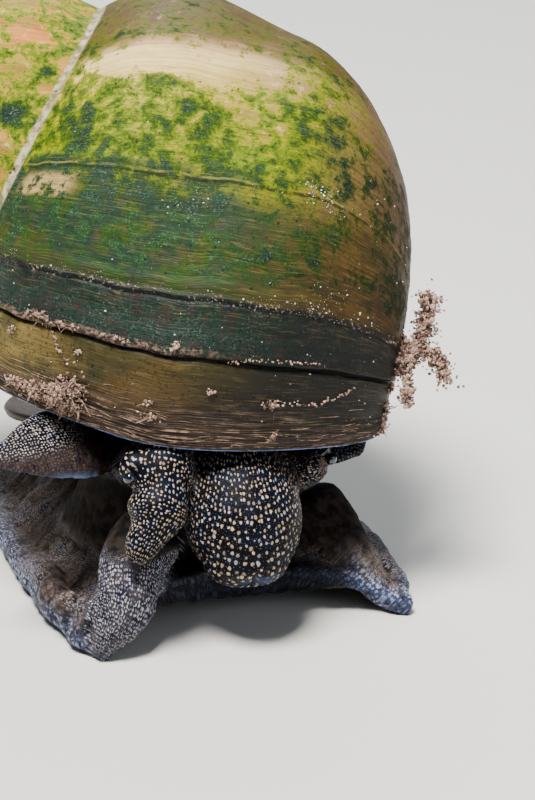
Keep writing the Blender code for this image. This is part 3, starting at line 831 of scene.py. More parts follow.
# %% Algae: the film by age, the mats by thickness, and places where they are thick or thin
FILM = (
    (0.56, 168), (0.80, 176), (0.92, 172), (1.02, 158), (1.20, 148), (1.32, 130), (1.42, 70),
    (1.54, 76), (1.66, 112), (2.40, 106),
)
MATS = (
    ((0.35, 0.44), (152, 146, 10), 0.80, True),
    ((0.41, 0.50), (88, 116, 0), 0.85, True),
    ((0.51, 0.62), (44, 74, 8), 0.85, False),
    ((0.58, 0.70), (22, 50, 24), 0.85, False),
    ((0.69, 0.79), (18, 34, 34), 0.8, False),
)
PATCHES = (
    (1.50, 0.17, 0.15, 0.12, -0.13),
    (1.36, 0.165, 0.035, 0.040, 0.16),
    (1.15, 0.09, 0.14, 0.05, 0.06),
    (1.47, 0.045, 0.16, 0.03, 0.09),
    (1.21, 0.28, 0.12, 0.09, -0.05),
    (1.42, 0.42, 0.22, 0.08, 0.09),
    (0.87, 0.163, 0.035, 0.035, 0.08),
    (0.69, 0.42, 0.06, 0.07, 0.10),
    (7.09, 0.275, 0.09, 0.03, 0.26),
    (7.36, 0.292, 0.07, 0.02, 0.14),
    (7.30, 0.240, 0.30, 0.06, 0.05),
    (7.66, 0.230, 0.16, 0.05, -0.16),
    (7.00, 0.330, 0.20, 0.04, 0.06),
)
SCREEN_GAMMA = 2.2
TOP_TINT = (0.46, 0.42, 0.50)
# The next tint darkens the base side of the whorls: painted shade with a brown cast.
SIDE_SHADE_TINT = (0.34, 0.26, 0.30)


def patchwork(tree, growth, thick):
    """Makes the algae thicker or thinner round a few places, given by age and share with their reach."""
    for age, share, age_reach, share_reach, amount in PATCHES:
        off = vector_calc(tree, "SUBTRACT", growth, (age, share, 0))
        scaled = drawn_out(tree, off, 1 / age_reach, 1 / share_reach, 0)
        far = node(tree, "ShaderNodeVectorMath", {0: scaled}, operation="LENGTH").outputs["Value"]
        thick = calc(tree, "ADD", thick, fade(tree, far, 1.4, 0.3, 0.0, amount))
    return thick


def algae_thickness(tree, growth, age, share, mat, grains):
    """How thick the algae are: the film and the mats, uneven, and thinner on the golden side."""
    broad, medium, *_ = grains
    greys = [(film_age, (grey, grey, grey)) for film_age, grey in FILM]
    film = node(tree, "ShaderNodeSeparateColor", {0: by_age(tree, age, greys)}).outputs[0]
    film = calc(tree, "POWER", film, 1 / SCREEN_GAMMA)
    thick = uneven(tree, mat, 0.60, (film, 0.62), (broad, 0.42), (medium, 0.16))
    thick = patchwork(tree, growth, thick)
    golden = product(tree, window(tree, age, 0.58, 0.95, 0.05), fade(tree, share, 0.30, 0.42))
    return calc(tree, "MULTIPLY_ADD", golden, -0.09, thick)


def overgrown(tree, colour, place, growth, age, share, grains):
    """Algae in nested shades, thick on the young half and thin on the worn back. Also gives its mask."""
    _, medium, _, tiny, dust = grains
    mat = calc(tree, "MULTIPLY_ADD", grain(tree, place, 1050, 7.0, 0.70, 0.25), 1.2, -0.1)
    thick = algae_thickness(tree, growth, age, share, mat, grains)
    grown = fade(tree, age, 0.56, 0.66)
    on_spire = fade(tree, age, *SPIRE_AGES)
    old_half = product(tree, fade(tree, age, 0.84, 1.02), fade(tree, age, 1.58, 1.9, 1.0, 0.5))
    old_half = calc(tree, "MAXIMUM", old_half, on_spire)
    old_half = product(tree, old_half, fade(tree, fade(tree, share, 0.34, 0.56), 0, 1, 1, 0.6))
    for (low, high), shade, strength, only_old in MATS:
        where = old_half if only_old else grown
        colour = lay(tree, colour, shade, strength, where, fade(tree, thick, low, high))

    between = window(tree, age, 0.345, 0.51, 0.015)
    between_mats = product(tree, between, fade(tree, mat, 0.46, 0.60), fade(tree, share, 0.6, 0.4))
    specks = product(tree, between, fade(tree, dust, 0.54, 0.64), fade(tree, medium, 0.40, 0.56))
    teal_zone = product(tree, window(tree, age, 0.60, 0.97, 0.06), fade(tree, share, 0.52, 0.24))
    vivid = product(tree, window(tree, age, 0.56, 0.80, 0.03), fade(tree, share, 0.46, 0.22))
    colour = coats(
        tree,
        colour,
        ((24, 50, 42), 0.8, teal_zone, fade(tree, medium, 0.38, 0.54)),
        ((18, 46, 36), 0.7, between_mats),
        ((92, 108, 98), 0.45, specks),
        ((14, 18, 20), 0.55, between, fade(tree, tiny, 0.48, 0.38)),
        ((20, 22, 22), 0.6, between, fade(tree, share, 0.36, 0.50)),
        ((44, 36, 35), 0.7, between, fade(tree, mat, 0.46, 0.36)),
        ((36, 74, 18), 0.6, vivid, fade(tree, mat, 0.46, 0.60)),
    )
    shaded_top = product(tree, fade(tree, age, 1.50, 1.66), fade(tree, age, 2.4, 4.8, 1.0, 0.2))
    colour = tinted(tree, colour, TOP_TINT, shaded_top, outside(tree, on_spire))
    tanned = product(tree, fade(tree, share, 0.36, 0.52), window(tree, age, 0.96, 1.8, 0.1))
    frost = product(tree, grown, fade(tree, thick, 0.60, 0.72), fade(tree, dust, 0.54, 0.62))
    crust = product(tree, grown, fade(tree, thick, 0.30, 0.46), fade(tree, tiny, 0.45, 0.37))
    bare = product(tree, window(tree, share, 0.05, 0.115, 0.03), window(tree, age, 0.83, 0.90, 0.03))
    colour = coats(
        tree,
        colour,
        ((134, 108, 72), 0.75, tanned, fade(tree, mat, 0.60, 0.48)),
        ((104, 126, 108), 0.42, frost),
        ((24, 40, 22), 0.55, crust),
        ((174, 150, 98), 0.9, bare, fade(tree, mat, 0.58, 0.48)),
    )
    # Past about a third of the outline, on the base side of the whorls, the colour is multiplied darker and
    # browner: painted shade, with some brown of the horn.
    shaded_brown_side = product(tree, fade(tree, share, 0.34, 0.62), window(tree, age, 0.54, 5.2, 0.04))
    colour = tinted(tree, colour, SIDE_SHADE_TINT, shaded_brown_side)
    return colour, product(tree, grown, fade(tree, thick, 0.50, 0.64))


# %% Fine lines that follow growth, and the frayed edge
def lined(tree, colour, growth, age, grains):
    """Coarse shading and fine pale and dark lines. Also gives the fine lines, for the relief."""
    _, medium, _, tiny, _ = grains
    coarse_lines, fine_lines = streaks(tree, growth, 60.0, 5.0), streaks(tree, growth, 170.0, 26.0)
    shade_values = {0: coarse_lines, 1: 0.32, 2: 0.68, 3: 0.6, 4: 1.25}
    shade = node(tree, "ShaderNodeMapRange", shade_values).outputs[0]
    tone = node(tree, "ShaderNodeCombineXYZ", {0: shade, 1: shade, 2: shade}).outputs[0]
    ringed = window(tree, age, 0.50, 1.34, 0.12)
    worn_lines = window(tree, age, 1.36, 1.60, 0.06)
    scored = product(tree, window(tree, age, 0.10, 0.32, 0.06), fade(tree, medium, 0.36, 0.5))
    colour = coats(
        tree,
        paint(tree, 0.7, colour, tone, "MULTIPLY"),
        ((30, 36, 12), 0.5, ringed, fade(tree, fine_lines, 0.52, 0.68)),
        ((150, 132, 60), 0.17, ringed, fade(tree, fine_lines, 0.46, 0.36)),
        ((150, 128, 84), 0.45, worn_lines, fade(tree, fine_lines, 0.53, 0.64)),
        ((122, 102, 68), 0.4, scored, fade(tree, fine_lines, 0.55, 0.68)),
        ((18, 16, 12), 0.55, scored, fade(tree, fine_lines, 0.47, 0.36)),
        ((14, 13, 11), 0.6, scored, fade(tree, tiny, 0.45, 0.36)),
    )
    return colour, fine_lines


def frayed_edge(tree, colour, growth, age, share, grains):
    """The horn skin in tatters along the lip. Also gives where it is frayed and how high its straws lie."""
    _, medium, small, *_ = grains
    fibres, strips = streaks(tree, growth, 260.0, 16.0), streaks(tree, growth, 110.0, 9.0)
    frayed = product(tree, fade(tree, age, 0.20, 0.06), fade(tree, medium, 0.26, 0.48))
    colour = coats(
        tree,
        colour,
        ((84, 70, 60), 0.7, frayed, fade(tree, strips, 0.48, 0.60)),
        ((20, 16, 15), 0.9, frayed, fade(tree, fibres, 0.49, 0.42)),
        ((16, 13, 13), 0.8, frayed, fade(tree, strips, 0.42, 0.36)),
    )
    straws = product(tree, fade(tree, fibres, 0.53, 0.62), frayed, fade(tree, share, 0.66, 0.45, 0.3))
    straw_colour = two_tone(tree, small, 0.4, 0.6, (100, 82, 70), (184, 154, 130))
    return paint(tree, product(tree, straws, 0.85), colour, straw_colour), frayed, straws


# %% The three rests, the seam and the rim
def rested(tree, colour, age, share, grains):
    """A black edge with banked crumbs, a crumbling ridge with pale grit, and a fine line above them."""
    _, medium, small, tiny, _ = grains
    edge, ridge, fine = RESTS.values()
    drift = uneven(tree, age, 0.013, (small, 0.014), (medium, 0.012))
    colour = lay(tree, colour, (7, 7, 9), line_at(tree, drift, edge, 0.011))
    banked = product(tree, window(tree, age, 0.332, 0.352, 0.012), fade(tree, share, 0.46, 0.30))
    crumbs = two_tone(tree, tiny, 0.40, 0.62, (48, 38, 34), (138, 112, 98))
    colour = paint(tree, product(tree, banked, fade(tree, small, 0.42, 0.54), 0.85), colour, crumbs)
    beside = product(tree, line_at(tree, drift, ridge - 0.014, 0.030), fade(tree, small, 0.44, 0.54))
    on_ridge = line_at(tree, drift, ridge - 0.002, 0.020)
    pale_grit = product(tree, on_ridge, fade(tree, tiny, 0.57, 0.64), fade(tree, medium, 0.40, 0.52))
    return coats(
        tree,
        colour,
        ((12, 13, 19), line_at(tree, drift, ridge - 0.006, 0.010), fade(tree, tiny, 0.36, 0.52)),
        ((16, 21, 27), 0.85, beside, fade(tree, tiny, 0.38, 0.52)),
        ((146, 134, 122), 0.8, pale_grit),
        ((150, 140, 60), 0.4, line_at(tree, drift, fine + 0.012, 0.006), fade(tree, medium, 0.42, 0.56)),
        ((26, 34, 18), 0.8, line_at(tree, drift, fine, 0.008), fade(tree, small, 0.36, 0.5)),
    )


def seamed(tree, colour, age, share, small):
    """The worn seam between the whorls, the blue rim, and the inside of the mouth: its bluish porcelain
    painted grey as shade.
    """
    seam_share = calc(tree, "MULTIPLY_ADD", small, 0.012, share)
    lower_seam = fade(tree, seam_share, AT_NEXT_SUTURE - 0.006, AT_NEXT_SUTURE + 0.002)
    lower_seam = product(tree, lower_seam, fade(tree, age, 6.0, 6.3))
    seam = calc(tree, "MAXIMUM", fade(tree, seam_share, 0.019, 0.012), lower_seam)
    seam_colour = two_tone(tree, small, 0.40, 0.60, (120, 108, 84), (194, 184, 154))
    rim = product(tree, fade(tree, age, 0.006, 0.002), fade(tree, small, 0.36, 0.5))
    return coats(
        tree,
        paint(tree, product(tree, seam, 0.85), colour, seam_colour),
        ((116, 138, 196), 0.85, rim),
        # Inside the mouth: bluish porcelain, darkened to grey as painted shade.
        ((96, 104, 120), fade(tree, age, -0.30, -0.50)),
    )


# %% The shell's material
SHELL_GRAINS = ((240, 3.0, 0.55), (560, 5.0, 0.6), (1900, 4.0, 0.6), (5600, 3.0, 0.6), (9000, 2.0, 0.6))


def shell_finish():
    """Horn, algae, rests and suture of the shell."""
    material, tree, shader = start_material("shell_horn", 0.5, 0.10)
    place = object_place(tree)
    growth = node(tree, "ShaderNodeUVMap", uv_map="growth").outputs[0]
    age, share, _ = node(tree, "ShaderNodeSeparateXYZ", {0: growth}).outputs
    grains = [grain(tree, place, *values) for values in SHELL_GRAINS]
    _, _, small, tiny, _ = grains
    colour = horn_colour(tree, age, share, grains)
    colour = weathered(tree, colour, growth, age, grains)
    colour, algae = overgrown(tree, colour, place, growth, age, share, grains)
    colour, fine_lines = lined(tree, colour, growth, age, grains)
    colour, frayed, straws = frayed_edge(tree, colour, growth, age, share, grains)
    colour = rested(tree, colour, age, share, grains)
    colour = seamed(tree, colour, age, share, small)

    cells = node(tree, "ShaderNodeTexVoronoi", {"Vector": place, "Scale": 1500.0}).outputs
    picked = node(tree, "ShaderNodeSeparateColor", {0: cells["Color"]}).outputs
    near = fade(tree, cells["Distance"], 0.10, 0.16, 1.0, 0.0)
    colour = lay(tree, colour, (14, 20, 22), 0.8, near, fade(tree, picked[1], 0.66, 0.68))

    rough = calc(tree, "MULTIPLY_ADD", algae, 0.20, 0.42)
    rough = calc(tree, "MULTIPLY_ADD", frayed, 0.18, rough)
    height = calc(tree, "MULTIPLY_ADD", straws, 0.8, calc(tree, "MULTIPLY", fine_lines, 0.7))
    height = calc(tree, "MULTIPLY_ADD", tiny, 0.35, height)
    height = calc(tree, "MULTIPLY_ADD", algae, 0.25, height)
    connect(tree, shader, colour, rough, height, 0.00010, 0.8)
    return material


dress(shell, shell_finish())
print("Shell finish nodes:", len(shell.data.materials[0].node_tree.nodes))

# %% [markdown]
# ## One skin for the soft body
# A snail's head, neck, lobes and foot are one sheet of wet skin, with no seam anywhere. A cage of
# subdivided faces could follow it, but tentacles, lobes and snout leave the body at odd angles. So
# each form starts as a sphere primitive with its rings threaded on a path, the forms are pressed into
# each other, and a voxel remesh makes one closed skin of them, which is then smoothed and wrinkled.


# %% Forms of threaded rings
def threaded_form(name, rings, first, final):
    """A sphere primitive whose rings are laid where these rings of points lie, with its two poles."""
    count, sides = rings.shape[:2]
    form = primitive(
        name, bpy.ops.mesh.primitive_uv_sphere_add, segments=sides, ring_count=count + 1, radius=1
    )
    at = points_of(form)
    ring = np.rint(np.arccos(np.clip(at[:, 2], -1, 1)) / math.pi * (count + 1)).astype(int)
    side = np.rint(np.arctan2(at[:, 1], at[:, 0]) / math.tau * sides).astype(int) % sides
    placed = rings[np.clip(ring - 1, 0, count - 1), side]
    placed[ring == 0] = first
    placed[ring == count + 1] = final
    put_points(form, placed)
    return form


CAP_ROUNDING = 0.6
CAP_STEPS = np.radians((80, 65, 50, 35, 18))
LEAST_RADIUS = 0.05
SIDE = (1, 0, 0)


def sideways(line, side_axis):
    """Unit vectors along a line and two across it, at each of its points."""
    along = unit(np.gradient(line, axis=0))
    across = unit(np.cross(along, side_axis))
    return along, across, np.cross(across, along)


def tube_form(name, path, radii, flat=1.0, side_axis=SIDE, sides=40, stations=48):
    """A round-ended tube along a spline, flattened across where flat is below 1."""
    line = spline(path, stations)
    radius = np.maximum(spline(np.column_stack([path, radii]), stations)[:, 3], LEAST_RADIUS)
    along, across, second = sideways(line, side_axis)
    turn = np.linspace(0, math.tau, sides, endpoint=False)[:, None]

    def ring(station, middle, size):
        """One oval section."""
        wide, thin = size * np.cos(turn) * second[station], size * flat * np.sin(turn) * across[station]
        return middle + wide + thin

    rings = [ring(i, line[i], radius[i]) for i in range(stations)]
    tips = []
    for end, sign in ((0, -1), (stations - 1, 1)):
        depth = radius[end] * CAP_ROUNDING
        cap = [
            ring(end, line[end] + sign * along[end] * depth * math.sin(a), radius[end] * math.cos(a))
            for a in CAP_STEPS
        ]
        rings = cap + rings if sign < 0 else rings + cap[::-1]
        tips.append(line[end] + sign * along[end] * depth)
    return threaded_form(name, np.array(rings), *tips)


def ball_form(name, centre, radii):
    """A sphere primitive, scaled and moved."""
    ball = primitive(name, bpy.ops.mesh.primitive_uv_sphere_add, segments=40, ring_count=24, radius=1)
    put_points(ball, points_of(ball) * radii + centre)
    return ball


# %% Head, snout, tentacles and lobes
LOBE_SIDE = (0, 0.8, 0.6)
HEAD_TUBES = {
    "snout": {
        "path": (
            (-5.6, -9.1, 8.9), (-5.7, -10.8, 8.1), (-5.85, -12.0, 6.9), (-6.0, -12.8, 5.7),
            (-6.1, -13.2, 4.9),
        ),
        "radii": (2.9, 3.3, 3.42, 3.1, 2.55),
        "sides": 56,
    },
    "tentacle_right": {
        "path": (
            (-9.0, -8.0, 10.2), (-10.2, -10.7, 10.4), (-10.55, -11.5, 9.8), (-10.75, -12.0, 9.2),
            (-11.06, -12.3, 8.6), (-11.35, -12.6, 8.0), (-11.69, -12.85, 7.5),
            (-12.1, -13.0, 7.05), (-12.42, -13.15, 6.6), (-12.75, -13.25, 6.1),
        ),
        "radii": (1.6, 1.75, 1.74, 1.52, 1.72, 1.66, 1.22, 1.10, 0.98, 0.62),
        "stations": 60,
    },
    "tentacle_left": {
        "path": ((-3.7, -8.4, 9.3), (-2.7, -10.0, 9.2), (-2.0, -11.2, 9.35), (-1.4, -12.2, 9.75)),
        "radii": (1.4, 1.38, 1.12, 0.85),
    },
    "neck_lobe_right": {
        "path": (
            (-11.9, -5.6, 10.3), (-14.0, -6.8, 10.9), (-15.6, -7.6, 11.3), (-17.2, -8.2, 11.4),
            (-19.1, -8.6, 11.35),
        ),
        "radii": (1.8, 2.3, 2.35, 1.95, 0.9),
        "flat": 0.30,
        "side_axis": LOBE_SIDE,
    },
    "neck_lobe_left": {
        "path": ((-0.9, -5.8, 8.9), (0.9, -7.6, 9.3), (2.5, -8.8, 9.5)),
        "radii": (1.7, 1.6, 1.0),
        "flat": 0.4,
        "side_axis": LOBE_SIDE,
    },
}
HEAD_BALLS = {
    "head": ((-6.0, -8.0, 8.9), (4.9, 3.5, 2.5)),
    "eye_stalk_right": ((-12.0, -10.9, 10.6), (0.9, 0.9, 1.1)),
    "eye_stalk_left": ((-0.5, -10.0, 9.5), (0.85, 0.85, 0.95)),
    "cheek_right": ((-10.0, -7.6, 9.6), (2.3, 2.2, 1.9)),
}
head_forms = [tube_form(name, **shape) for name, shape in HEAD_TUBES.items()]
head_forms += [ball_form(name, *shape) for name, shape in HEAD_BALLS.items()]
print("Head forms:", len(head_forms))

# %% The neck, from deep in the throat down into the foot
NECK_TURNS = (0.90, 0.60, 0.45, 0.34, 0.25, 0.16, -0.02)
NECK_INSETS = (0.14, 0.14, 0.20, 0.40, 0.95, 1.5, 1.5)
NECK_NARROWING = (0.84, 0.84, 0.5)
NECK_DROP = (0.2, -0.1, -2.1)
NECK_LOW = ((-6.1, -3.0, 7.2), (6.2, 5.9))
NECK_FOOT = ((-6.0, -2.2, 3.2), (7.8, 7.6))
NECK_COUNTS = (64, 14, 40)


def turn_along(loop):
    """Angles about a loop's middle that follow its length, so that an oval can be joined to it."""
    middle = loop.mean(axis=0)
    lengths = np.linalg.norm(np.roll(loop, -1, axis=0) - loop, axis=1)
    around = np.cumsum(lengths) - lengths
    flat = loop[:, :2] - middle[:2]
    area = (flat[:, 0] * np.roll(flat[:, 1], -1) - flat[:, 1] * np.roll(flat[:, 0], -1)).sum()
    start = math.atan2(flat[0, 1], flat[0, 0])
    return start + math.copysign(math.tau, area) * around / lengths.sum()


def oval(turn, middle, half_sizes):
    """A level oval of points."""
    x = middle[0] + half_sizes[0] * np.cos(turn)
    y = middle[1] + half_sizes[1] * np.sin(turn)
    return np.stack([x, y, np.full(len(turn), middle[2])], -1)


def neck_form():
    """The column that fills the shell's mouth and stands on the foot."""
    rings = []
    for step, inset in zip(NECK_TURNS, NECK_INSETS):
        loop, angles = throat_loop(WALL + inset, *NECK_COUNTS)
        rings.append(spiral(loop[:, 0], loop[:, 1], angles - step))
    rim = rings[-1]
    middle = rim.mean(axis=0)
    below = middle + (rim - middle) * NECK_NARROWING + NECK_DROP
    turn = turn_along(rim)
    low, bottom = oval(turn, *NECK_LOW), oval(turn, *NECK_FOOT)
    rings += [below, (below + low) / 2, low, (low + bottom) / 2, bottom]
    return threaded_form("neck", np.array(rings), throat_middle(NECK_TURNS[0]), bottom.mean(axis=0))


neck = neck_form()
print("Neck points:", len(neck.data.vertices))

# %% The foot: a flat sole under a back that rises to the middle, its front margin drawn back
FOOT_CENTRE_X = -5.4
FOOT_FRONT_Y = -13.3
FOOT_END_Y = 27.0
FOOT_RISE = (
    (-13.3, 1.0), (-12.0, 1.7), (-10.0, 2.9), (-6.3, 5.2), (-1.0, 6.2), (5.0, 5.7), (10.0, 4.9),
    (16.0, 3.7), (22.0, 2.4), (27.0, 0.9),
)
FOOT_HALF_WIDTH = (
    (-13.3, 9.5), (-11.0, 10.2), (-6.0, 10.6), (0.0, 10.8), (8.0, 10.4), (14.0, 9.2), (19.0, 7.4),
    (23.0, 5.2), (25.5, 3.2), (27.0, 0.9),
)
FRONT_DRAWN_BACK = 2.8
FRONT_LIFT = 2.7
FRONT_LEAN = 0.035
FRONT_REACH = (4.5, 7.5)
FRONT_ARCH = (0.95, 4.0)
FRONT_CURVE = (9.0, 2.2)
BACK_ROUNDING = (2.1, 1.15)
SOLE_EDGE = 0.55
LEAST_THICKNESS = 0.45


def foot_section(y):
    """The foot's outline across at one place, the back first and then the sole the other way."""
    share = np.sin(np.linspace(-0.5, 0.5, 61) * math.pi)
    half = np.interp(y, *zip(*FOOT_HALF_WIDTH))
    rise = np.interp(y, *zip(*FOOT_RISE))
    nearness = max(0.0, 1 - (y - FOOT_FRONT_Y) / FRONT_REACH[0]) ** 2
    hollow = max(0.0, 1 - (y - FOOT_FRONT_Y) / FRONT_REACH[1]) ** 1.2
    off = np.abs(share)
    arch = np.clip(1 - (off / FRONT_ARCH[0]) ** FRONT_ARCH[1], 0, 1)
    x, ys = FOOT_CENTRE_X + half * share, y + FRONT_DRAWN_BACK * arch * nearness
    lift = FRONT_LIFT * arch * hollow * (1 - FRONT_LEAN * (x + 8.0))
    back = SOLE_EDGE + (rise - SOLE_EDGE) * (1 - off ** BACK_ROUNDING[0]) ** BACK_ROUNDING[1]
    top = lift * 0.75 + back
    sole = np.minimum(lift, top - LEAST_THICKNESS)
    return np.stack([x, ys, top], -1), np.stack([x, ys, sole], -1)


def foot_form():
    """The foot as one closed sheet, zipped together at its front margin and at the tail's tip."""
    rings = []
    for y in FOOT_FRONT_Y + (FOOT_END_Y - FOOT_FRONT_Y) * np.linspace(0, 1, 110) ** 1.2:
        top, sole = foot_section(y)
        rings.append((top, sole))
    zips = [(sum(rings[end]) / 2,) * 2 for end in (0, -1)]
    rings = [zips[0], *rings, zips[1]]
    points = np.array([np.concatenate([top, sole[::-1], top[:1]]) for top, sole in rings])
    sheet = rolled_sheet("foot", points)
    weld(sheet, 0.002)
    return sheet


foot = foot_form()
print("Foot points:", len(foot.data.vertices))

# %% Rolled margins, puffs and corner lobes of the foot
FOOT_TUBES = {
    "corner_right": (
        (
            (-14.8, -12.9, 0.5), (-14.35, -12.75, 1.1), (-13.0, -12.1, 3.0), (-12.4, -10.9, 4.3),
            (-10.8, -9.3, 5.4),
        ),
        (0.55, 1.15, 1.75, 1.9, 2.1),
    ),
    "corner_left": (
        ((4.0, -13.1, 0.5), (2.9, -11.8, 1.1), (1.5, -9.5, 3.4), (0.3, -7.5, 5.0)),
        (0.55, 0.9, 1.5, 2.0),
    ),
    "front_lip": (
        (
            (-14.2, -13.0, 0.75), (-13.0, -12.3, 2.0), (-11.0, -11.3, 3.0), (-8.2, -10.7, 3.45),
            (-5.0, -10.6, 3.25), (-1.8, -10.9, 2.65), (1.2, -11.7, 1.7), (3.4, -12.9, 0.75),
        ),
        (0.5, 0.45, 0.42, 0.38, 0.38, 0.40, 0.42, 0.5),
    ),
    "margin_right": (
        (
            (-14.5, -12.5, 0.7), (-15.3, -11.0, 0.95), (-15.35, -9.4, 0.85), (-15.5, -7.8, 1.1),
            (-15.75, -5.8, 0.85), (-15.65, -3.6, 1.05), (-15.7, -0.5, 0.9), (-15.6, 4.0, 0.85),
            (-15.2, 8.5, 0.75), (-13.9, 14.0, 0.65), (-12.0, 19.0, 0.5), (-9.6, 23.0, 0.4),
        ),
        (0.7, 0.95, 0.85, 1.1, 0.85, 1.05, 0.9, 0.85, 0.75, 0.65, 0.5, 0.4),
    ),
    "margin_left": (
        (
            (3.6, -12.4, 0.6), (4.3, -10.5, 0.85), (4.6, -8.0, 0.75), (4.75, -5.0, 0.95),
            (4.85, -1.5, 0.8), (4.8, 2.5, 0.9), (4.4, 8.0, 0.75), (3.1, 14.0, 0.65),
            (1.2, 19.0, 0.5), (-1.2, 23.0, 0.4),
        ),
        (0.6, 0.85, 0.75, 0.95, 0.8, 0.9, 0.75, 0.65, 0.5, 0.4),
    ),
}
PUFFS = (
    ((-15.05, -11.4, 2.1), (0.85, 1.0, 1.25)),
    ((-15.75, -9.4, 2.0), (0.85, 1.0, 1.0)),
    ((-15.95, -7.4, 2.0), (0.85, 1.0, 1.0)),
    ((-15.6, -4.6, 1.7), (0.9, 1.2, 0.8)),
    ((4.2, -9.0, 1.5), (0.8, 1.2, 0.8)),
)
LID_PAD = ((-5.4, 8.6, 5.0), (-5.4, 12.0, 3.9), (-5.4, 18.0, 2.7), (-5.4, 23.0, 2.1))
LID_PAD_WIDTHS = (3.5, 5.6, 5.8, 3.2)
foot_forms = [tube_form(name, *shape, stations=80) for name, shape in FOOT_TUBES.items()]
foot_forms.append(tube_form("lid_pad", LID_PAD, LID_PAD_WIDTHS, flat=0.2))
foot_forms += [ball_form(f"puff_{i}", *shape) for i, shape in enumerate(PUFFS)]
print("Foot forms:", len(foot_forms))

# %% Press the forms into one skin
SKIN_VOXEL = 0.21
SKIN_SMOOTHING = 7


def add_modifier(piece, kind, **settings):
    """Adds a modifier, sets it and applies it."""
    select_only(piece)
    made = piece.modifiers.new(kind.lower(), kind)
    for key, value in settings.items():
        setattr(made, key, value)
    bpy.ops.object.modifier_apply(modifier=made.name)


select_only(*head_forms, neck, *foot_forms, foot)
bpy.ops.object.join()
skin = bpy.context.object
skin.name = "skin"
add_modifier(skin, "REMESH", mode="VOXEL", voxel_size=SKIN_VOXEL, use_smooth_shade=True)
add_modifier(skin, "SMOOTH", factor=0.5, iterations=SKIN_SMOOTHING)
print("Skin triangles before sculpting:", triangles_of(skin))

# %% [markdown]
# ## Sculpting the skin
# The remesh leaves even faces of a fifth of a millimetre, fine enough to carry wrinkles as real
# relief. Sculpting by brush can't be repeated exactly, so the same moves are made by formula: every
# point moves along its normal by waves that follow the form it lies on. Rings go round the tentacles,
# folds run down the flank of the foot, and the snout wrinkles across near the mouth.

# %% Which form each point of the skin belongs to
FOOT_AXIS = ((-4.0, 20.0), 10.0)
PATH_STATIONS = 60


def gaps_to(points, line):
    """Distances from each point of a line to all the points."""
    return np.array([np.linalg.norm(points - middle, axis=1) for middle in line])


def near_path(points, path):
    """Distance from a path's spline and the length along it, for each point."""
    line = spline(path, PATH_STATIONS)
    gaps = gaps_to(points, line)
    return gaps.min(axis=0), path_lengths(line)[gaps.argmin(axis=0)]


def beyond_tube(points, path, radii):
    """How far each point lies outside a tube."""
    sizes = spline(np.column_stack([path, radii]), PATH_STATIONS)[:, 3]
    return (gaps_to(points, spline(path, PATH_STATIONS)) - sizes[:, None]).min(axis=0)


def waves(points, scale, seed=0.0):
    """Smooth noise between about -1 and 1 at each point, with so many waves to the unit."""
    places = points * np.broadcast_to(scale, 3) + seed
    return np.fromiter((noise.noise(Vector(p)) for p in places), float, len(points)) * 1.6


def cracks(points, scale, seed=0.0):
    """1 in the cracks of a net of plates, 0 on the plates, with so many plates to the unit."""
    places = points * np.broadcast_to(scale, 3) + seed
    found = (noise.voronoi(Vector(p))[0] for p in places)
    gap = np.fromiter((nearest[1] - nearest[0] for nearest in found), float, len(points))
    return 1 - smooth(gap / 0.35)


def foot_flow(points):
    """Length along the foot's margin and distance from its middle line, as on a race track."""
    (front, tail), turn_size = FOOT_AXIS
    x, y = points[:, 0] - FOOT_CENTRE_X, points[:, 1]
    past = y - np.clip(y, front, tail)
    away = np.hypot(x, past)
    angle = np.arctan2(past, np.maximum(np.abs(x), 1e-6))
    return np.clip(y, front, tail) + turn_size * angle, away


at = points_of(skin)
x, y, z = at.T
flow_along, flow_away = foot_flow(at)
near = {name: near_path(at, shape["path"]) for name, shape in HEAD_TUBES.items()}
beyond = {name: beyond_tube(at, shape["path"], shape["radii"]) for name, shape in HEAD_TUBES.items()}
beyond["corner_right"] = beyond_tube(at, *FOOT_TUBES["corner_right"])
stalks = [np.linalg.norm(at - HEAD_BALLS[name][0], axis=1) for name in ("eye_stalk_right", "eye_stalk_left")]
on_snout = smooth((4.6 - near["snout"][0]) / 1.0) * smooth((-9.4 - y) / 1.2)
on_snout *= np.maximum(smooth((z - 7.0) / 1.0), smooth((0.55 - beyond["snout"]) / 0.3))
on_tentacles = smooth((0.62 - np.minimum(beyond["tentacle_right"], beyond["tentacle_left"])) / 0.4)
on_tentacles = np.maximum(on_tentacles, smooth((1.6 - np.minimum(*stalks)) / 0.4))
on_tentacles *= smooth((-8.6 - y) / 0.8)
on_tentacles *= smooth((near["snout"][0] - 3.3) / 0.5)
on_lobes = smooth((3.0 - np.minimum(near["neck_lobe_right"][0], near["neck_lobe_left"][0])) / 0.5)
on_lobes *= (1 - on_tentacles) * smooth((z - 7.6) / 0.8)
on_foot = smooth((7.6 - z) / 1.6) * (1 - on_snout) * (1 - on_tentacles)
on_corner = smooth((0.7 - beyond["corner_right"]) / 0.5) * smooth((6.0 - z) / 1.0)
on_corner *= (1 - on_tentacles) * (1 - on_snout)
in_shell = smooth((z - 11.0) / 2.0)
print("Points:", len(at), "on the snout:", int(on_snout.sum()), "on the foot:", int(on_foot.sum()))

# %% Relief of the skin, in millimetres
SOLE_TOP = 0.12


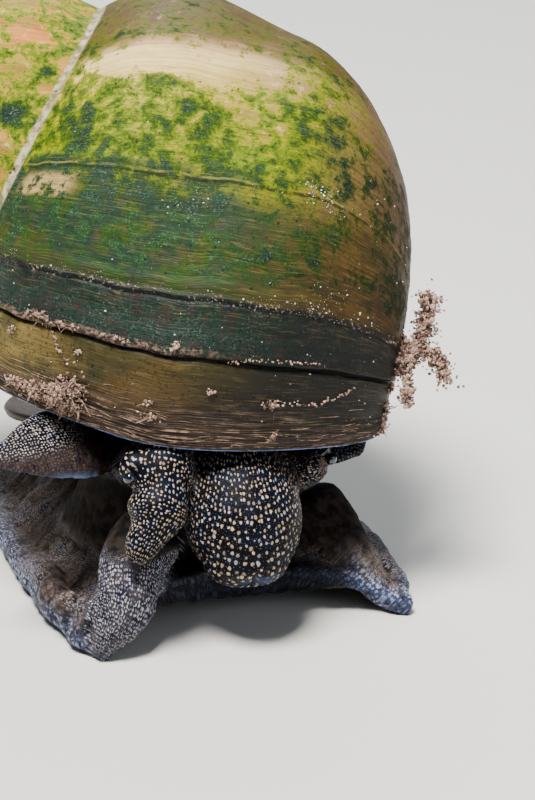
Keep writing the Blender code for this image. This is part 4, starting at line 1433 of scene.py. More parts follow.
def skin_relief():
    """How far each point moves along its normal."""
    lift = 0.03 * waves(at, 1.9) + 0.015 * waves(at, 4.2, 7.0)
    flow = np.stack([flow_along, flow_away - 0.7 * z, 0.3 * z], -1)
    drift = flow + 0.5 * np.stack([waves(at, 0.5, s) for s in (21.0, 31.0, 41.0)], -1)
    folds = 0.12 - 0.28 * np.abs(waves(drift, (0.50, 0.15, 0.3), 3.0))
    plates = 0.015 - 0.05 * cracks(drift, (0.95, 0.62, 0.3), 5.0)
    flank = on_foot * smooth((z - SOLE_TOP) / 0.8) * (1 - 0.75 * smooth((z - 3.2) / 2.0))
    flank *= smooth((flow_away - 2.5) / 2.5)
    lift += flank * (1 - 0.6 * on_corner) * (folds + plates)
    trunk = (1 - on_foot) * (1 - on_snout) * (1 - on_tentacles) * (1 - on_lobes) * (1 - in_shell)
    around = np.stack([np.arctan2(y + 3.0, x + 6.0) * 5.0, z, 0 * flow_away], -1)
    lift += trunk * (0.04 - 0.10 * np.abs(waves(around, (0.45, 0.7, 1), 5.0)))
    for name, pitch in (("tentacle_right", 0.52), ("tentacle_left", 0.46)):
        along = near[name][1] + 0.14 * waves(at, 1.4, 2.0)
        lift += 0.022 * on_tentacles * (beyond[name] < 0.5) * np.sin(along / pitch * math.tau)
    along = near["snout"][1] + 0.16 * waves(at, 0.9, 4.0)
    toward_mouth = smooth((along - 3.8) / 1.4)
    lift += 0.030 * on_snout * (0.1 + toward_mouth) * np.sin(along / 0.55 * math.tau)
    ruffle = np.sin(near["neck_lobe_right"][1] / 0.55 * math.tau)
    lift += on_lobes * (0.05 * waves(at, 1.6, 9.0) + 0.02 * ruffle)
    return lift * (1 - in_shell)


FURROWS = (
    (((-15.7, -12.5, 1.0), (-15.0, -11.9, 2.2), (-14.4, -10.9, 3.8), (-13.9, -9.6, 4.6)), 0.42, 0.42),
    (((-14.6, -9.9, 3.1), (-15.5, -10.35, 2.0), (-16.2, -10.6, 0.9)), 0.32, 0.38),
    (((-14.8, -8.2, 3.0), (-15.9, -8.5, 2.2), (-16.5, -8.7, 1.1)), 0.32, 0.36),
    (((-6.2, -14.5, 3.6), (-6.2, -14.9, 4.3), (-6.15, -15.3, 5.0)), 0.22, 0.45),
)
lift = skin_relief()
for path, width, depth in FURROWS:
    lift -= depth * bump_at(near_path(at, path)[0], width)
at = at + points_of(skin, "normal") * lift[:, None]
at[at[:, 2] < SOLE_TOP, 2] = 0.0
put_points(skin, at)
print("Skin relief from", round(float(lift.min()), 2), "to", round(float(lift.max()), 2), "mm")

# %% Masks for the skin's finish
EYES = {"eye_right": (-12.55, -11.8, 10.4), "eye_left": (-0.05, -10.9, 9.6)}
MOUTH = (-5.95, -15.1, 4.2)


def keep_value(piece, name, values, kind="FLOAT"):
    """Stores one value or vector for each point, for the material to read."""
    layer = piece.data.attributes.new(name, kind, "POINT")
    key = "value" if kind == "FLOAT" else "vector"
    layer.data.foreach_set(key, np.ascontiguousarray(values, np.float32).ravel())


x, y, z = at.T
by_eye = np.min([np.linalg.norm(at - place, axis=1) for place in EYES.values()], axis=0)
eye_side = smooth((EYES["eye_right"][0] + 0.1 - x) / 0.3) + (x > EYES["eye_left"][0] - 0.1)
off_middle = np.abs(x - FOOT_CENTRE_X)
from_side = np.interp(y, *zip(*FOOT_HALF_WIDTH)) - off_middle
front_curve = np.clip(1 - (off_middle / FRONT_CURVE[0]) ** FRONT_CURVE[1], 0, 1)
from_front = y - FOOT_FRONT_Y - FRONT_DRAWN_BACK * front_curve
margin = smooth((1.1 - from_side) / 1.1) * smooth((2.4 - z) / 1.6)
margin = np.maximum(margin, smooth((1.0 - from_front) / 0.9) * smooth((3.8 - z) / 0.6)) * on_foot
lobe_beyond = np.minimum(beyond["neck_lobe_right"], beyond["neck_lobe_left"])
edge = smooth((0.2 - from_side) / 0.4) * smooth((0.75 - z) / 0.35)
front_edge = smooth((0.30 - from_front) / 0.25) * smooth((3.0 - z) / 0.4)
edge = np.maximum(edge, front_edge * (1 - on_corner)) * on_foot
# The foot's front under the head is painted near black: painted shade in the arch below the snout.
shade_under_head = smooth((7.6 - off_middle) / 2.0) * smooth((1.6 - from_front) / 1.0) * on_foot * (1 - on_corner)
# The lower flank stands in the light; above it and close under the body the skin gets painted shade.
lit_flank = on_foot * smooth((flow_away - 3.0) / 2.5) * smooth((4.8 - z) / 2.2)
kept_values = {
    "snout": on_snout,
    "tentacles": on_tentacles,
    "lobes": on_lobes,
    "corner": on_corner,
    "foot": on_foot,
    "margin": margin,
    "shade_under_head": shade_under_head,
    "lit_flank": lit_flank,
    "edge": edge,
    "mouth": smooth((0.95 - np.linalg.norm((at - MOUTH) * (0.5, 1.0, 1.3), axis=1)) / 0.6) * on_snout,
    "eye_ring": bump_at(by_eye - 0.47, 0.07) * eye_side * smooth((10.5 - z) / 0.3),
    "thin_lobe": on_lobes * smooth((12.0 - z) / 1.0) * smooth((-12.0 - x) / 1.0),
    "shaded_lobe": on_lobes * np.maximum(smooth((x + 14.5) / 1.3), x > FOOT_CENTRE_X),
    "lobe_rim": on_lobes * bump_at(lobe_beyond + 0.02, 0.14) * smooth((-13.2 - x) / 0.5),
}
for name, values in kept_values.items():
    keep_value(skin, name, values)
print("Skin values:", ", ".join(kept_values))

# %% A flat map for the flecks, so that they stay even on every form
SNOUT_BALL = (np.array((-5.8, -11.6, 7.2)), Vector((-0.12, -0.80, -0.58)), 3.6)
TENTACLE_SPREAD = 1.5
CORNER_SPREAD = 1.7


def ball_map(points, middle, facing, spread):
    """Places on a ball, laid flat from the point that faces this way."""
    out = unit(points - middle)
    facing = np.array(facing.normalized())
    right = unit(np.cross(facing, (0, 0, 1)))
    above = np.cross(right, facing)
    turn = np.arccos(np.clip(out @ facing, -1, 1))
    x, y = out @ right, out @ above
    length = np.maximum(np.hypot(x, y), 1e-6)
    return np.stack([x / length * turn, y / length * turn], -1) * spread


def tube_map(points, path, side_axis, spread):
    """Places round a tube, laid flat at this spread, or across it if the spread is 0."""
    line = spline(path, PATH_STATIONS)
    ways, across, second = sideways(line, side_axis)
    station = gaps_to(points, line).argmin(axis=0)
    off = points - line[station]
    along = path_lengths(line)[station] + (off * ways[station]).sum(axis=1)
    u, v = (off * second[station]).sum(axis=1), (off * across[station]).sum(axis=1)
    return np.stack([along, np.arctan2(u, v) * spread if spread else u], -1)


def pair_maps(name, on_pair, side_axis, spread):
    """The right and the left one of a pair of head tubes, each with its mask and its places."""
    halves = {"right": x < FOOT_CENTRE_X, "left": x >= FOOT_CENTRE_X}
    paths = {side: HEAD_TUBES[f"{name}_{side}"]["path"] for side in halves}
    return [(on_pair * halves[side], tube_map(at, paths[side], side_axis, spread)) for side in halves]


fleck_map = np.stack([flow_along, flow_away - 0.8 * z], -1)
flat_maps = [(on_corner, tube_map(at, FOOT_TUBES["corner_right"][0], SIDE, CORNER_SPREAD))]
flat_maps += pair_maps("neck_lobe", on_lobes, LOBE_SIDE, 0)
flat_maps.append((on_snout, ball_map(at, *SNOUT_BALL)))
flat_maps += pair_maps("tentacle", on_tentacles, SIDE, TENTACLE_SPREAD)
for mask, places in flat_maps:
    fleck_map = np.where((mask > 0.5)[:, None], places, fleck_map)
keep_value(skin, "fleck_map", np.column_stack([fleck_map, 0 * flow_away]), "FLOAT_VECTOR")
print("Fleck map from", fleck_map.min(axis=0).round(1), "to", fleck_map.max(axis=0).round(1))

# %% [markdown]
# ## The skin's finish
# River snails are dark, nearly black on the head, with yellow-cream flecks: large and round on the
# snout, fine and close on the tentacles, drawn out into streaks down the flank of the foot. One group
# makes such flecks from cells of its own size, and the values kept on the points say where each kind
# lies. The edge of the foot is thin, so light comes through it and it looks lilac blue.


# %% Flecks as a group
def bent(tree, place, scale, amount):
    """The place pushed about by a noise."""
    bends = node(tree, "ShaderNodeTexNoise", {"Vector": place, "Scale": scale, "Detail": 2.0}).outputs
    centred = vector_calc(tree, "SUBTRACT", bends["Color"], (0.5, 0.5, 0.5))
    return vector_calc(tree, "ADD", place, vector_calc(tree, "SCALE", centred, amount))


def fleck_group():
    """Round flecks of differing size, one in each cell of a flat pattern."""
    takes = {"Place": "Vector", "Scale": "Float", "Size": "Float", "Wobble": "Float"}
    tree, inner = new_group("flecks", takes, {"Mask": "Float", "Chance": "Float"})
    scaled = vector_calc(tree, "SCALE", inner["Place"], inner["Scale"])
    place = bent(tree, scaled, 1.7, inner["Wobble"])
    cell_values = {"Vector": place, "Scale": 1.0, "Randomness": 0.62}
    cells = node(tree, "ShaderNodeTexVoronoi", cell_values, voronoi_dimensions="2D").outputs
    picked = node(tree, "ShaderNodeSeparateColor", {0: cells["Color"]}).outputs
    size = calc(tree, "MULTIPLY", calc(tree, "MULTIPLY_ADD", picked[0], 0.45, 0.74), inner["Size"])
    far = calc(tree, "DIVIDE", cells["Distance"], size)
    node(tree, "NodeGroupOutput", {0: fade(tree, far, 0.62, 1.12, 1.0, 0.0), 1: picked[1]})
    return tree


FLECKS = fleck_group()


def flecks(tree, place, scale, size, wobble):
    """Places the fleck group with its own values: the mask, and a chance value for each fleck."""
    values = {"Place": place, "Scale": scale, "Size": size, "Wobble": wobble}
    return node(tree, "ShaderNodeGroup", values, node_tree=FLECKS).outputs


def wrinkle_net(tree, place, scale, distortion):
    """A net of fine wrinkles, 1 in the wrinkles, and a chance value for each plate between them."""
    place = bent(tree, place, scale * 0.6, distortion / scale)
    values = {"Vector": place, "Scale": scale}
    plates = node(tree, "ShaderNodeTexVoronoi", values, voronoi_dimensions="2D").outputs
    edges = node(
        tree, "ShaderNodeTexVoronoi", values, voronoi_dimensions="2D", feature="DISTANCE_TO_EDGE"
    ).outputs
    chance = node(tree, "ShaderNodeSeparateColor", {0: plates["Color"]}).outputs[0]
    return fade(tree, edges["Distance"], 0.02, 0.20, 1.0, 0.0), chance


print("Fleck group nodes:", len(FLECKS.nodes))

# %% Skin material: the ground colours
def kept(tree, name, output="Fac"):
    """A value that the piece keeps on its points."""
    return node(tree, "ShaderNodeAttribute", attribute_name=name).outputs[output]


def flank_colour(tree, flat, grains):
    """Brown flank with a net of wrinkles and rows of pale grains, and near black above it and close under
    the body as painted shade. Also the net.
    """
    broad, medium, small = grains
    low = kept(tree, "lit_flank")
    net, tone = wrinkle_net(tree, drawn_out(tree, flat, 1.0, 0.62, 1.0), 2.7, 1.1)
    net = product(tree, net, low)
    pale_plates = product(tree, fade(tree, tone, 0.45, 0.95), fade(tree, small, 0.34, 0.56), low)
    pale_rows, _ = flecks(tree, flat, 5.4, 0.33, 1.3)
    ground = coats(
        tree,
        two_tone(tree, medium, 0.36, 0.64, (44, 37, 36), (86, 74, 69)),
        ((50, 56, 78), 0.6, fade(tree, broad, 0.50, 0.64)),
        ((104, 94, 88), 0.75, pale_plates),
        ((20, 16, 17), 0.55, net, fade(tree, medium, 0.30, 0.48)),
        ((136, 130, 132), 0.8, pale_rows, fade(tree, broad, 0.38, 0.58), low),
    )
    # Off the lit flank: near black, painted shade.
    upper = two_tone(tree, medium, 0.38, 0.62, (11, 9, 9), (40, 33, 30))
    return paint(tree, outside(tree, low), ground, upper), net


def skin_ground(tree, flat, grains):
    """Neck, flank, margin and the right corner's tongue. Also gives their height."""
    _, medium, small = grains
    foot, corner, margin = (kept(tree, name) for name in ("foot", "corner", "margin"))
    flank, net = flank_colour(tree, flat, grains)
    # The neck is near black: the skin's own dark colour, and painted shade from the shell and head above it.
    neck_dark_and_shaded = two_tone(tree, medium, 0.35, 0.65, (6, 5, 6), (16, 13, 13))
    colour = paint(tree, foot, neck_dark_and_shaded, flank)

    edge_tone = two_tone(tree, small, 0.38, 0.62, (24, 26, 38), (56, 62, 86))
    colour = paint(tree, product(tree, margin, 0.9), colour, edge_tone)
    edge_flecks, _ = flecks(tree, drawn_out(tree, flat, 1.0, 0.8, 1.0), 4.4, 0.40, 1.1)
    colour = lay(tree, colour, (166, 178, 212), 0.8, margin, edge_flecks, fade(tree, medium, 0.38, 0.54))

    tongue = two_tone(tree, medium, 0.36, 0.62, (18, 21, 34), (56, 50, 54))
    tongue_flecks, tongue_tone = flecks(tree, drawn_out(tree, flat, 0.75, 1.0, 1.0), 6.6, 0.37, 0.9)
    pale = paint(tree, tongue_tone, rgb(90, 92, 108), rgb(180, 178, 188))
    tongue = paint(tree, product(tree, tongue_flecks, 0.9), tongue, pale)
    colour = paint(tree, corner, colour, tongue)
    height = calc(tree, "MULTIPLY_ADD", net, -0.5, product(tree, tongue_flecks, corner, 0.6))
    return colour, calc(tree, "MULTIPLY", height, foot)


# %% Skin material: flecks on snout, tentacles and lobes
def head_flecks(tree, flat, tentacles, lobes, medium):
    """The mask and the colour of the flecks on the head."""
    large, large_tone = flecks(tree, drawn_out(tree, flat, 1.0, 0.86, 1.0), 2.75, 0.258, 0.5)
    little, _ = flecks(tree, flat, 4.4, 0.09, 0.3)
    marks = calc(tree, "MAXIMUM", large, calc(tree, "MULTIPLY", little, 0.75))
    fine, fine_tone = flecks(tree, flat, 4.3, 0.275, 0.5)
    finer, _ = flecks(tree, flat, 5.6, 0.33, 0.6)
    marks = mixed(tree, lobes, mixed(tree, tentacles, marks, fine), finer)
    tone = mixed(tree, tentacles, large_tone, fine_tone)
    warm = paint(tree, tone, rgb(124, 106, 90), rgb(200, 176, 146))
    cold = paint(tree, tone, rgb(110, 108, 114), rgb(184, 180, 180))
    share_cold = calc(tree, "MAXIMUM", fade(tree, medium, 0.44, 0.62), calc(tree, "MULTIPLY", lobes, 0.7))
    return marks, paint(tree, share_cold, warm, cold)


# %% Skin material: all layers
SKIN_GRAINS = ((420, 3.0, 0.55), (1400, 4.0, 0.6), (4200, 4.0, 0.6))


def skin_finish():
    """Dark wet skin with cream flecks and pale blue margins."""
    material, tree, shader = start_material("snail_skin", 0.42, 0.06)
    place = object_place(tree)
    flat = kept(tree, "fleck_map", "Vector")
    grains = [grain(tree, place, *values) for values in SKIN_GRAINS]
    _, medium, small = grains
    snout, tentacles, lobes = (kept(tree, name) for name in ("snout", "tentacles", "lobes"))
    head = calc(tree, "MAXIMUM", calc(tree, "MAXIMUM", snout, tentacles), lobes)
    colour, height = skin_ground(tree, flat, grains)

    dark = two_tone(tree, medium, 0.35, 0.65, (4, 6, 13), (10, 15, 30))
    thin_lobe = kept(tree, "thin_lobe")
    colour = paint(tree, head, colour, dark)
    colour = lay(tree, colour, (50, 39, 35), 0.85, product(tree, thin_lobe, fade(tree, small, 0.30, 0.50)))
    marks, mark_colour = head_flecks(tree, flat, tentacles, lobes, medium)
    marks = product(tree, marks, head, fade(tree, thin_lobe, 0.2, 0.9, 1.0, 0.10))
    marks = product(tree, marks, fade(tree, kept(tree, "shaded_lobe"), 0.2, 0.9, 1.0, 0.2))
    colour = coats(
        tree,
        paint(tree, marks, colour, mark_colour),
        ((52, 62, 88), 0.8, kept(tree, "mouth")),
        ((88, 116, 158), 0.8, kept(tree, "eye_ring")),
        ((120, 146, 190), 0.7, kept(tree, "lobe_rim")),
        ((50, 58, 88), 0.6, kept(tree, "edge"), fade(tree, medium, 0.36, 0.52)),
        # Near black under the head: painted shade.
        ((9, 10, 15), 0.9, kept(tree, "shade_under_head")),
    )

    sheltered = product(tree, outside(tree, kept(tree, "lit_flank")), outside(tree, head))
    rough = calc(tree, "MULTIPLY_ADD", medium, 0.24, 0.32)
    rough = calc(tree, "MULTIPLY_ADD", sheltered, 0.35, rough)
    height = calc(tree, "ADD", height, calc(tree, "MULTIPLY_ADD", marks, 0.6, small))
    connect(tree, shader, colour, rough, height, 0.00006, 0.9)
    return material


dress(skin, skin_finish())
print("Skin triangles:", triangles_of(skin))

# %% [markdown]
# ## Eyes and operculum
# Each eye is a small black bead at the foot of its tentacle. The operculum is the horny lid that
# shuts the shell when the snail withdraws. It grows in rings round a centre that lies off the
# middle, and while the snail crawls it rides on the back of the tail.

# %% Eyes
EYE_RADIUS = 0.36


def eye_finish():
    """Glossy black with a deep blue cast."""
    material, tree, shader = start_material("eye_bead", 0.12)
    cloudy = grain(tree, object_place(tree), 2600)
    connect(tree, shader, two_tone(tree, cloudy, 0.4, 0.65, (8, 9, 14), (22, 34, 58)))
    shader.inputs["Coat Weight"].default_value = 0.6
    return material


EYE_FINISH = eye_finish()
eye_pieces = {}
for name, place in EYES.items():
    eye = ball_form(f"{name}_bead", place, (EYE_RADIUS,) * 3)
    dress(eye, EYE_FINISH)
    eye_pieces[name] = eye
print("Eyes:", ", ".join(eye_pieces))

# %% Operculum: rings of points from the middle of its outer face, over the rim, to its underside
OPERCULUM_SIZE = (14.5, 18.5, 0.8)
OPERCULUM_PLACE = np.array((-5.4, 16.0, 4.35))
OPERCULUM_TILT = math.radians(-11.5)
OPERCULUM_NARROWING = 0.10
OPERCULUM_SIDES = 144
OPERCULUM_NUCLEUS = np.array((1.5, 1.6))
OPERCULUM_FACE = ((0.0, 0.25), (0.35, 0.25), (0.70, 0.42), (0.94, 0.78), (0.985, 0.70), (1.0, 0.5))
OPERCULUM_UNDER = ((0.985, 0.12), (0.95, 0.0), (0.60, -0.125), (0.30, -0.25), (0.06, -0.25))


def operculum_form():
    """The lid, dished, with low rings round its nucleus."""
    width, length, thick = OPERCULUM_SIZE
    turn = np.linspace(0, math.tau, OPERCULUM_SIDES, endpoint=False)
    x = width / 2 * (1 - OPERCULUM_NARROWING * np.sin(turn)) * np.cos(turn)
    y = length / 2 * np.sin(turn)
    face = np.concatenate([np.linspace(0.02, 0.94, 56), [0.965, 0.985, 1.0]])
    heights = np.interp(face, *zip(*OPERCULUM_FACE))
    heights += 0.045 * ripple(face, 0.055, 21) * smooth((0.99 - face) / 0.05)
    heights += 0.02 * ripple(face, 0.022, 22)
    c, s = math.cos(OPERCULUM_TILT), math.sin(OPERCULUM_TILT)
    rings = []
    for share, height in (*zip(face, heights), *OPERCULUM_UNDER):
        off = OPERCULUM_NUCLEUS * (1 - share)
        waver = 1 + 0.008 * np.sin(3 * turn + 9 * share) * share * (1 - share) * 4
        flat_x, flat_y = x * share * waver + off[0], y * share * waver + off[1]
        z = height * thick
        rings.append(np.stack([flat_x, flat_y * c - z * s, flat_y * s + z * c], -1) + OPERCULUM_PLACE)
    return threaded_form("operculum_lid", np.array(rings), rings[0].mean(axis=0), rings[-1].mean(axis=0))


operculum = operculum_form()
face_outward(operculum)
lid_at = (points_of(operculum) - OPERCULUM_PLACE)[:, :2] - OPERCULUM_NUCLEUS * 0.55
lid_share = np.hypot(lid_at[:, 0] / OPERCULUM_SIZE[0], lid_at[:, 1] / OPERCULUM_SIZE[1]) * 2
lid_turn = np.arctan2(lid_at[:, 1], lid_at[:, 0])
keep_value(operculum, "rings", np.stack([lid_share, lid_turn, 0 * lid_share], -1), "FLOAT_VECTOR")
print("Operculum width and length in mm:", OPERCULUM_SIZE[:2])

# %% The operculum's finish
LID_SHADES = ((0.0, (36, 20, 12)), (0.45, (76, 42, 22)), (0.85, (104, 64, 34)), (1.0, (50, 32, 22)))


def lid_finish():
    """Brown horn in rings, paler and stained towards the rim."""
    material, tree, shader = start_material("operculum_horn", 0.42, 0.2)
    rings = kept(tree, "rings", "Vector")
    share = node(tree, "ShaderNodeSeparateXYZ", {0: rings}).outputs[0]
    bands, fine_bands = streaks(tree, rings, 34.0, 0.5), streaks(tree, rings, 130.0, 0.8)
    across = calc(tree, "MULTIPLY_ADD", bands, 0.3, calc(tree, "SUBTRACT", share, 0.15))
    stain = fade(tree, grain(tree, object_place(tree), 900, 4.0), 0.54, 0.66)
    colour = coats(
        tree,
        colour_ramp(tree, across, LID_SHADES),
        ((30, 17, 10), 0.6, fade(tree, fine_bands, 0.52, 0.66)),
        ((66, 64, 38), 0.5, stain),
    )
    rough = calc(tree, "MULTIPLY_ADD", fine_bands, 0.3, 0.26)
    connect(tree, shader, colour, rough, fine_bands, 0.00008, 0.7)
    return material


dress(operculum, lid_finish())
print("Operculum triangles:", triangles_of(operculum))

# %% [markdown]
# ## Silt, straw and grit on the shell
# A snail's shell gathers what drifts past: flocs of silt in tufts, frayed straws of old horn skin
# along the lip, and single grains of sand. One crumb is modelled with few faces, then copied many
# times into one mesh; every fibre and straw is a thin four-sided tube of its own, all in one mesh.
# Each lies at a place given by its age and its share of the outline.


# %% Places on the shell and copies of a form
LAST_NORMALS = outward(last)


def on_shell(back_angle, share):
    """A point of the last whorl's surface with its normal and its two directions, age and outline."""
    i = np.interp(np.clip(back_angle, 0.001, COLUMNS[-3]), COLUMNS, np.arange(len(COLUMNS)))
    j = np.interp(np.clip(share, 0.001, SHARES[-3]), SHARES, np.arange(len(SHARES)))
    row, column = int(i), int(j)
    up, over = i - row, j - column
    patch = last[row : row + 2, column : column + 2]
    place = (1 - up) * ((1 - over) * patch[0, 0] + over * patch[0, 1])
    place = place + up * ((1 - over) * patch[1, 0] + over * patch[1, 1])
    age_way, outline_way = patch[1, 0] - patch[0, 0], patch[0, 1] - patch[0, 0]
    age_way, outline_way = unit(age_way), unit(outline_way)
    return place, LAST_NORMALS[row, column], age_way, outline_way


def new_piece(name, points, faces):
    """A piece with this mesh."""
    mesh = bpy.data.meshes.new(name)
    mesh.from_pydata(points, [], faces)
    return add_object(name, mesh)


def copies(name, form, places, turns, sizes):
    """One mesh that holds a copy of the form at each place, turned and sized."""
    own = points_of(form)
    corners = [tuple(face.vertices) for face in form.data.polygons]
    points, faces = [], []
    for place, turn, size in zip(places, turns, sizes):
        first = len(points) * len(own)
        points.append((own * size) @ np.array(turn).T + place)
        faces += [tuple(first + k for k in face) for face in corners]
    return new_piece(name, np.concatenate(points).tolist(), faces)


def any_turn(rng):
    """A random turn."""
    axis = Vector(rng.normal(size=3)).normalized()
    return Matrix.Rotation(rng.uniform(0, math.tau), 3, axis)


crumb = primitive("crumb", bpy.ops.mesh.primitive_ico_sphere_add, subdivisions=1, radius=1)
put_points(crumb, points_of(crumb) * (1 + 0.35 * waves(points_of(crumb), 1.3, 6.0))[:, None])
print("Faces of a crumb:", len(crumb.data.polygons))

# %% Tufts of silt
TUFTS = (
    (0.082, 0.222, 1.25, 0.70, 0.55, 420, 50),
    (0.100, 0.250, 1.05, 1.05, 1.15, 900, 80),
    (0.060, 0.262, 0.60, 0.60, 0.70, 260, 30),
    (0.075, 0.190, 0.9, 0.32, 0.30, 130, 10),
    (0.150, 0.351, 0.30, 0.22, 0.2, 16, 2),
    (0.100, 0.362, 0.50, 0.30, 0.3, 34, 5),
    (0.183, 0.497, 0.60, 0.26, 0.35, 46, 8),
    (0.061, 0.514, 0.24, 0.42, 0.3, 34, 4),
    (0.217, 0.416, 0.22, 0.22, 0.2, 14, 2),
    (0.352, 0.351, 0.25, 0.42, 0.25, 30, 3),
    (0.365, 0.175, 0.75, 0.24, 0.35, 60, 10),
    (0.350, 0.215, 0.9, 0.20, 0.2, 50, 6),
    (0.348, 0.275, 1.0, 0.18, 0.16, 46, 4),
    (0.262, 0.241, 0.35, 0.2, 0.15, 12, 1),
    (0.270, 0.150, 0.3, 0.4, 0.15, 18, 2),
    (0.060, 0.690, 0.32, 0.60, 0.35, 60, 4),
    (0.170, 0.690, 0.26, 0.70, 0.35, 60, 4),
    (0.290, 0.690, 0.24, 0.50, 0.3, 40, 3),
)
STRANDS = (
    ((0.335, 0.187), (0.290, 0.210), (0.240, 0.225), (0.215, 0.245)),
    ((0.190, 0.510), (0.185, 0.545), (0.215, 0.575), (0.275, 0.600)),
    ((0.330, 0.420), (0.345, 0.470), (0.350, 0.540)),
)
CLUMP = (
    ((0.47, 0.700), (0.5, 0.0, 0.1), (0.9, 0.9, 0.2), (1.0, 2.4, 0.3), (0.9, 4.1, 0.4), 0.85, 1100),
    ((0.50, 0.700), (0.8, 0.2, 0.0), (1.7, 0.1, 0.2), (2.3, -0.5, 0.4), (2.4, -1.6, 0.5), 0.75, 900),
    ((0.43, 0.700), (0.4, -0.2, 0.0), (0.7, -0.7, 0.1), (0.9, -1.4, 0.2), (0.9, -2.2, 0.3), 0.45, 420),
    ((0.40, 0.700), (0.2, 0.0, 0.0), (0.4, 0.6, 0.0), (0.45, 1.6, 0.1), (0.4, 2.6, 0.2), 0.40, 320),
)


def tuft_crumbs(rng):
    """Places and sizes of the crumbs of all tufts, strands and the clump by the far lip."""
    places, sizes = [], []
    for back_angle, share, wide, high, tall, count, _ in TUFTS:
        middle, normal, age_way, outline_way = on_shell(back_angle, share)
        for _ in range(count):
            u, v = rng.normal(size=2) * 0.45
            rise = abs(rng.normal()) * 0.5 * tall * math.exp(-(u * u + v * v))
            places.append(middle + outline_way * u * wide + age_way * v * high + normal * (rise + 0.02))
            sizes.append(rng.uniform(0.035, 0.095))
    for strand in STRANDS:
        for back_angle, share in spline(strand, 34):
            middle, normal, *_ = on_shell(back_angle, share)
            places.append(middle + normal * 0.05 + rng.normal(size=3) * 0.05)
            sizes.append(rng.uniform(0.045, 0.09))
    for foot_at, *knots, radius, count in CLUMP:
        middle, normal, age_way, outline_way = on_shell(*foot_at)
        way = np.array([normal, age_way, -outline_way])
        path = spline([middle, *(middle + np.array(k) @ way for k in knots)], 40)
        for _ in range(count):
            k = rng.integers(0, 40)
            puff = radius * (0.75 + 0.35 * math.sin(k * 0.55))
            spread, largest = (0.32, 0.20) if rng.random() < 0.6 else (0.52, 0.11)
            places.append(path[k] + rng.normal(size=3) * puff * spread)
            sizes.append(rng.uniform(0.05, largest))
    return np.array(places), np.array(sizes)


def crumb_mesh(name, places, sizes, rng):
    """Crumbs at these places, each flattened and turned its own way."""
    turns = [any_turn(rng) for _ in places]
    shapes = sizes[:, None] * rng.uniform(0.6, 1.25, (len(sizes), 3))
    return copies(name, crumb, places, turns, shapes)


chance = np.random.default_rng(11)
silt = crumb_mesh("silt", *tuft_crumbs(chance), chance)
print("Silt triangles:", triangles_of(silt))

# %% Fibres in the tufts and straws along the lip
FIBRE_SIDE = (0.31, 0.17, 0.93)
FIBRE_SIDES = 4


def fibre_rings(path, width):
    """Rings of points round a short path."""
    _, across, second = sideways(path, FIBRE_SIDE)
    turn = np.linspace(0, math.tau, FIBRE_SIDES, endpoint=False)[:, None]
    sizes = width * np.sin(np.linspace(0.25, math.pi - 0.25, len(path))) ** 0.5
    stations = zip(path, sizes, across, second)
    return np.array([p + size * (np.cos(turn) * a + np.sin(turn) * b) for p, size, a, b in stations])


def fibre_paths(rng):
    """Bent paths that stand out of the tufts, and paths that follow the growth lines near the lip."""
    paths = []
    for back_angle, share, wide, high, tall, _, count in TUFTS:
        middle, normal, age_way, outline_way = on_shell(back_angle, share)
        for _ in range(count):
            u, v = rng.normal(size=2) * 0.4
            start = middle + outline_way * u * wide + age_way * v * high
            way = normal * rng.uniform(0.2, 0.9) + rng.normal(size=3) * 0.45
            bend = rng.normal(size=3) * 0.25
            reach = rng.uniform(0.3, 0.8) * (0.5 + tall)
            t = np.linspace(0, 1, 6)[:, None]
            paths.append((start + way * reach * t + bend * reach * t**2, rng.uniform(0.018, 0.032)))
    for _ in range(110):
        age = abs(rng.normal()) * 0.065 + 0.008
        first = rng.uniform(0.10, 0.66)
        share = first + np.linspace(0, 1, 9) * rng.uniform(0.006, 0.030)
        ages = age + rng.normal() * 0.006 * np.linspace(0, 1, 9)
        ages += 0.003 * np.sin(np.linspace(0, 3, 9) + first * 40)
        spots = [on_shell(a, s) for a, s in zip(ages, share)]
        rise = 0.01 + 0.07 * rng.random() * np.linspace(0, 1, 9) ** 2
        path = np.array([place + normal * height for (place, normal, *_), height in zip(spots, rise)])
        paths.append((path, rng.uniform(0.012, 0.026)))
    return paths


def fibres_mesh(name, forms):
    """All fibres as one mesh of closed four-sided tubes."""
    points, faces = [], []
    for rings, first, final in forms:
        start = len(points)
        count, sides = rings.shape[:2]
        points += [*rings.reshape(-1, 3), first, final]
        for i in range(count - 1):
            for j in range(sides):
                a, b = start + i * sides + j, start + i * sides + (j + 1) % sides
                faces.append((a, b, b + sides, a + sides))
        for j in range(sides):
            faces.append((start + (j + 1) % sides, start + j, start + count * sides))
            end = start + (count - 1) * sides
            faces.append((end + j, end + (j + 1) % sides, start + count * sides + 1))
    return new_piece(name, [tuple(p) for p in points], faces)


fibre_forms = []
for path, width in fibre_paths(chance):
    path = spline(path[[0, len(path) // 2, -1]], 7) if len(path) > 6 else path
    fibre_forms.append((fibre_rings(path, width), path[0], path[-1]))
straw = fibres_mesh("straw", fibre_forms)
print("Straws and fibres:", len(fibre_forms), "triangles:", triangles_of(straw))

# %% Single grains of sand
GRIT_HEAPS = (
    (0.98, 0.45, 0.045), (0.94, 0.47, 0.03), (0.99, 0.43, 0.03), (0.60, 0.50, 0.05),
    (0.86, 0.28, 0.05),
)


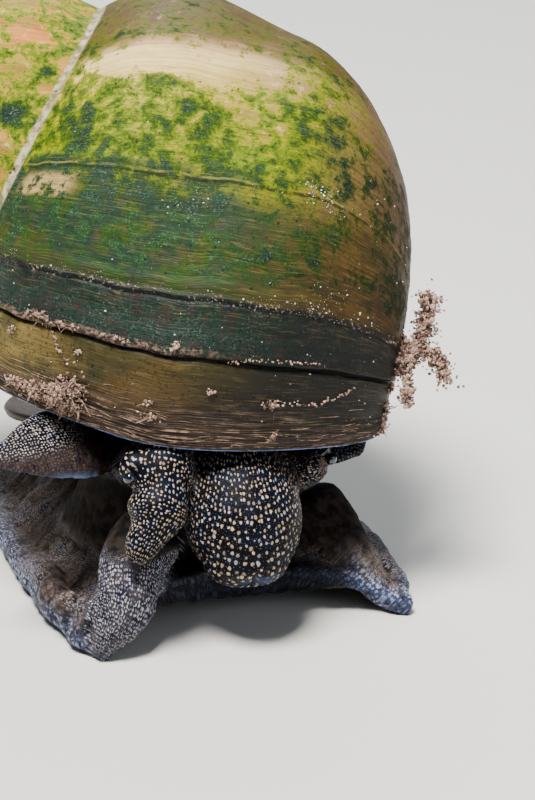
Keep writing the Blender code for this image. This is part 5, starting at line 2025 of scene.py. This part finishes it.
def grit_places(rng):
    """Grains strewn over the young part of the shell, thinner higher up."""
    places, sizes = [], []
    spots = [(rng.uniform(0.0, 1.0) ** 1.4 * 1.25, rng.uniform(0.03, 0.70)) for _ in range(230)]
    spots += [(RESTS["ridge"] + 0.02 + 0.012 * rng.normal(), rng.uniform(0.03, 0.70)) for _ in range(150)]
    for back_angle, share, spread in GRIT_HEAPS:
        for _ in range(45):
            spots.append((back_angle + 0.6 * spread * rng.normal(), share + 0.4 * spread * rng.normal()))
    for back_angle, share in spots:
        middle, normal, *_ = on_shell(back_angle, share)
        size = 0.016 + 0.045 * rng.random() ** 4
        places.append(middle + normal * size * 0.4)
        sizes.append(size)
    return np.array(places), np.array(sizes)


grit = crumb_mesh("grit", *grit_places(chance), chance)
bpy.data.objects.remove(crumb)
print("Grit triangles:", triangles_of(grit))


# %% Finishes of silt, straw and grit
def loose_finish(name, dark, pale, scale, roughness):
    """Matt crumbs or fibres whose colour changes from one to the next."""
    material, tree, shader = start_material(name, roughness)
    place = object_place(tree)
    colour = two_tone(tree, grain(tree, place, scale, 3.0, 0.7), 0.36, 0.64, dark, pale)
    connect(tree, shader, colour, None, grain(tree, place, scale * 6), 0.00002, 0.5)
    return material


for piece, finish in (
    (silt, loose_finish("silt_flocs", (70, 52, 46), (190, 158, 140), 2600, 0.9)),
    (straw, loose_finish("horn_straw", (70, 54, 44), (160, 130, 106), 2600, 0.6)),
    (grit, loose_finish("sand_grit", (110, 104, 94), (232, 230, 220), 1500, 0.35)),
):
    give(piece, finish)
    piece.data.transform(TO_FRAME)
print("Loose finishes:", ", ".join(piece.data.materials[0].name for piece in (silt, straw, grit)))

# %% [markdown]
# ## Handing over
# Every piece rides on the one body there is. The skin stands for all the flesh nodes, and the loose
# silt, straw and grit lie on the shell.

# %% Finish
FLESH = ("mantle", "neck", "head", "snout", "foot_front", "foot_middle", "foot_tail")
SIDED_FLESH = ("tentacle", "eye_stalk", "neck_lobe")
flesh_nodes = [*FLESH, *(f"{name}_{side}" for name in SIDED_FLESH for side in ("left", "right"))]
stands_for = {shell: ["shell"], skin: flesh_nodes, operculum: ["operculum"]}
stands_for.update({piece: [name] for name, piece in eye_pieces.items()})
for piece, nodes in stands_for.items():
    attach(piece, "root")
    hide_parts(*nodes)
for piece in (silt, straw, grit):
    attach(piece, "root")
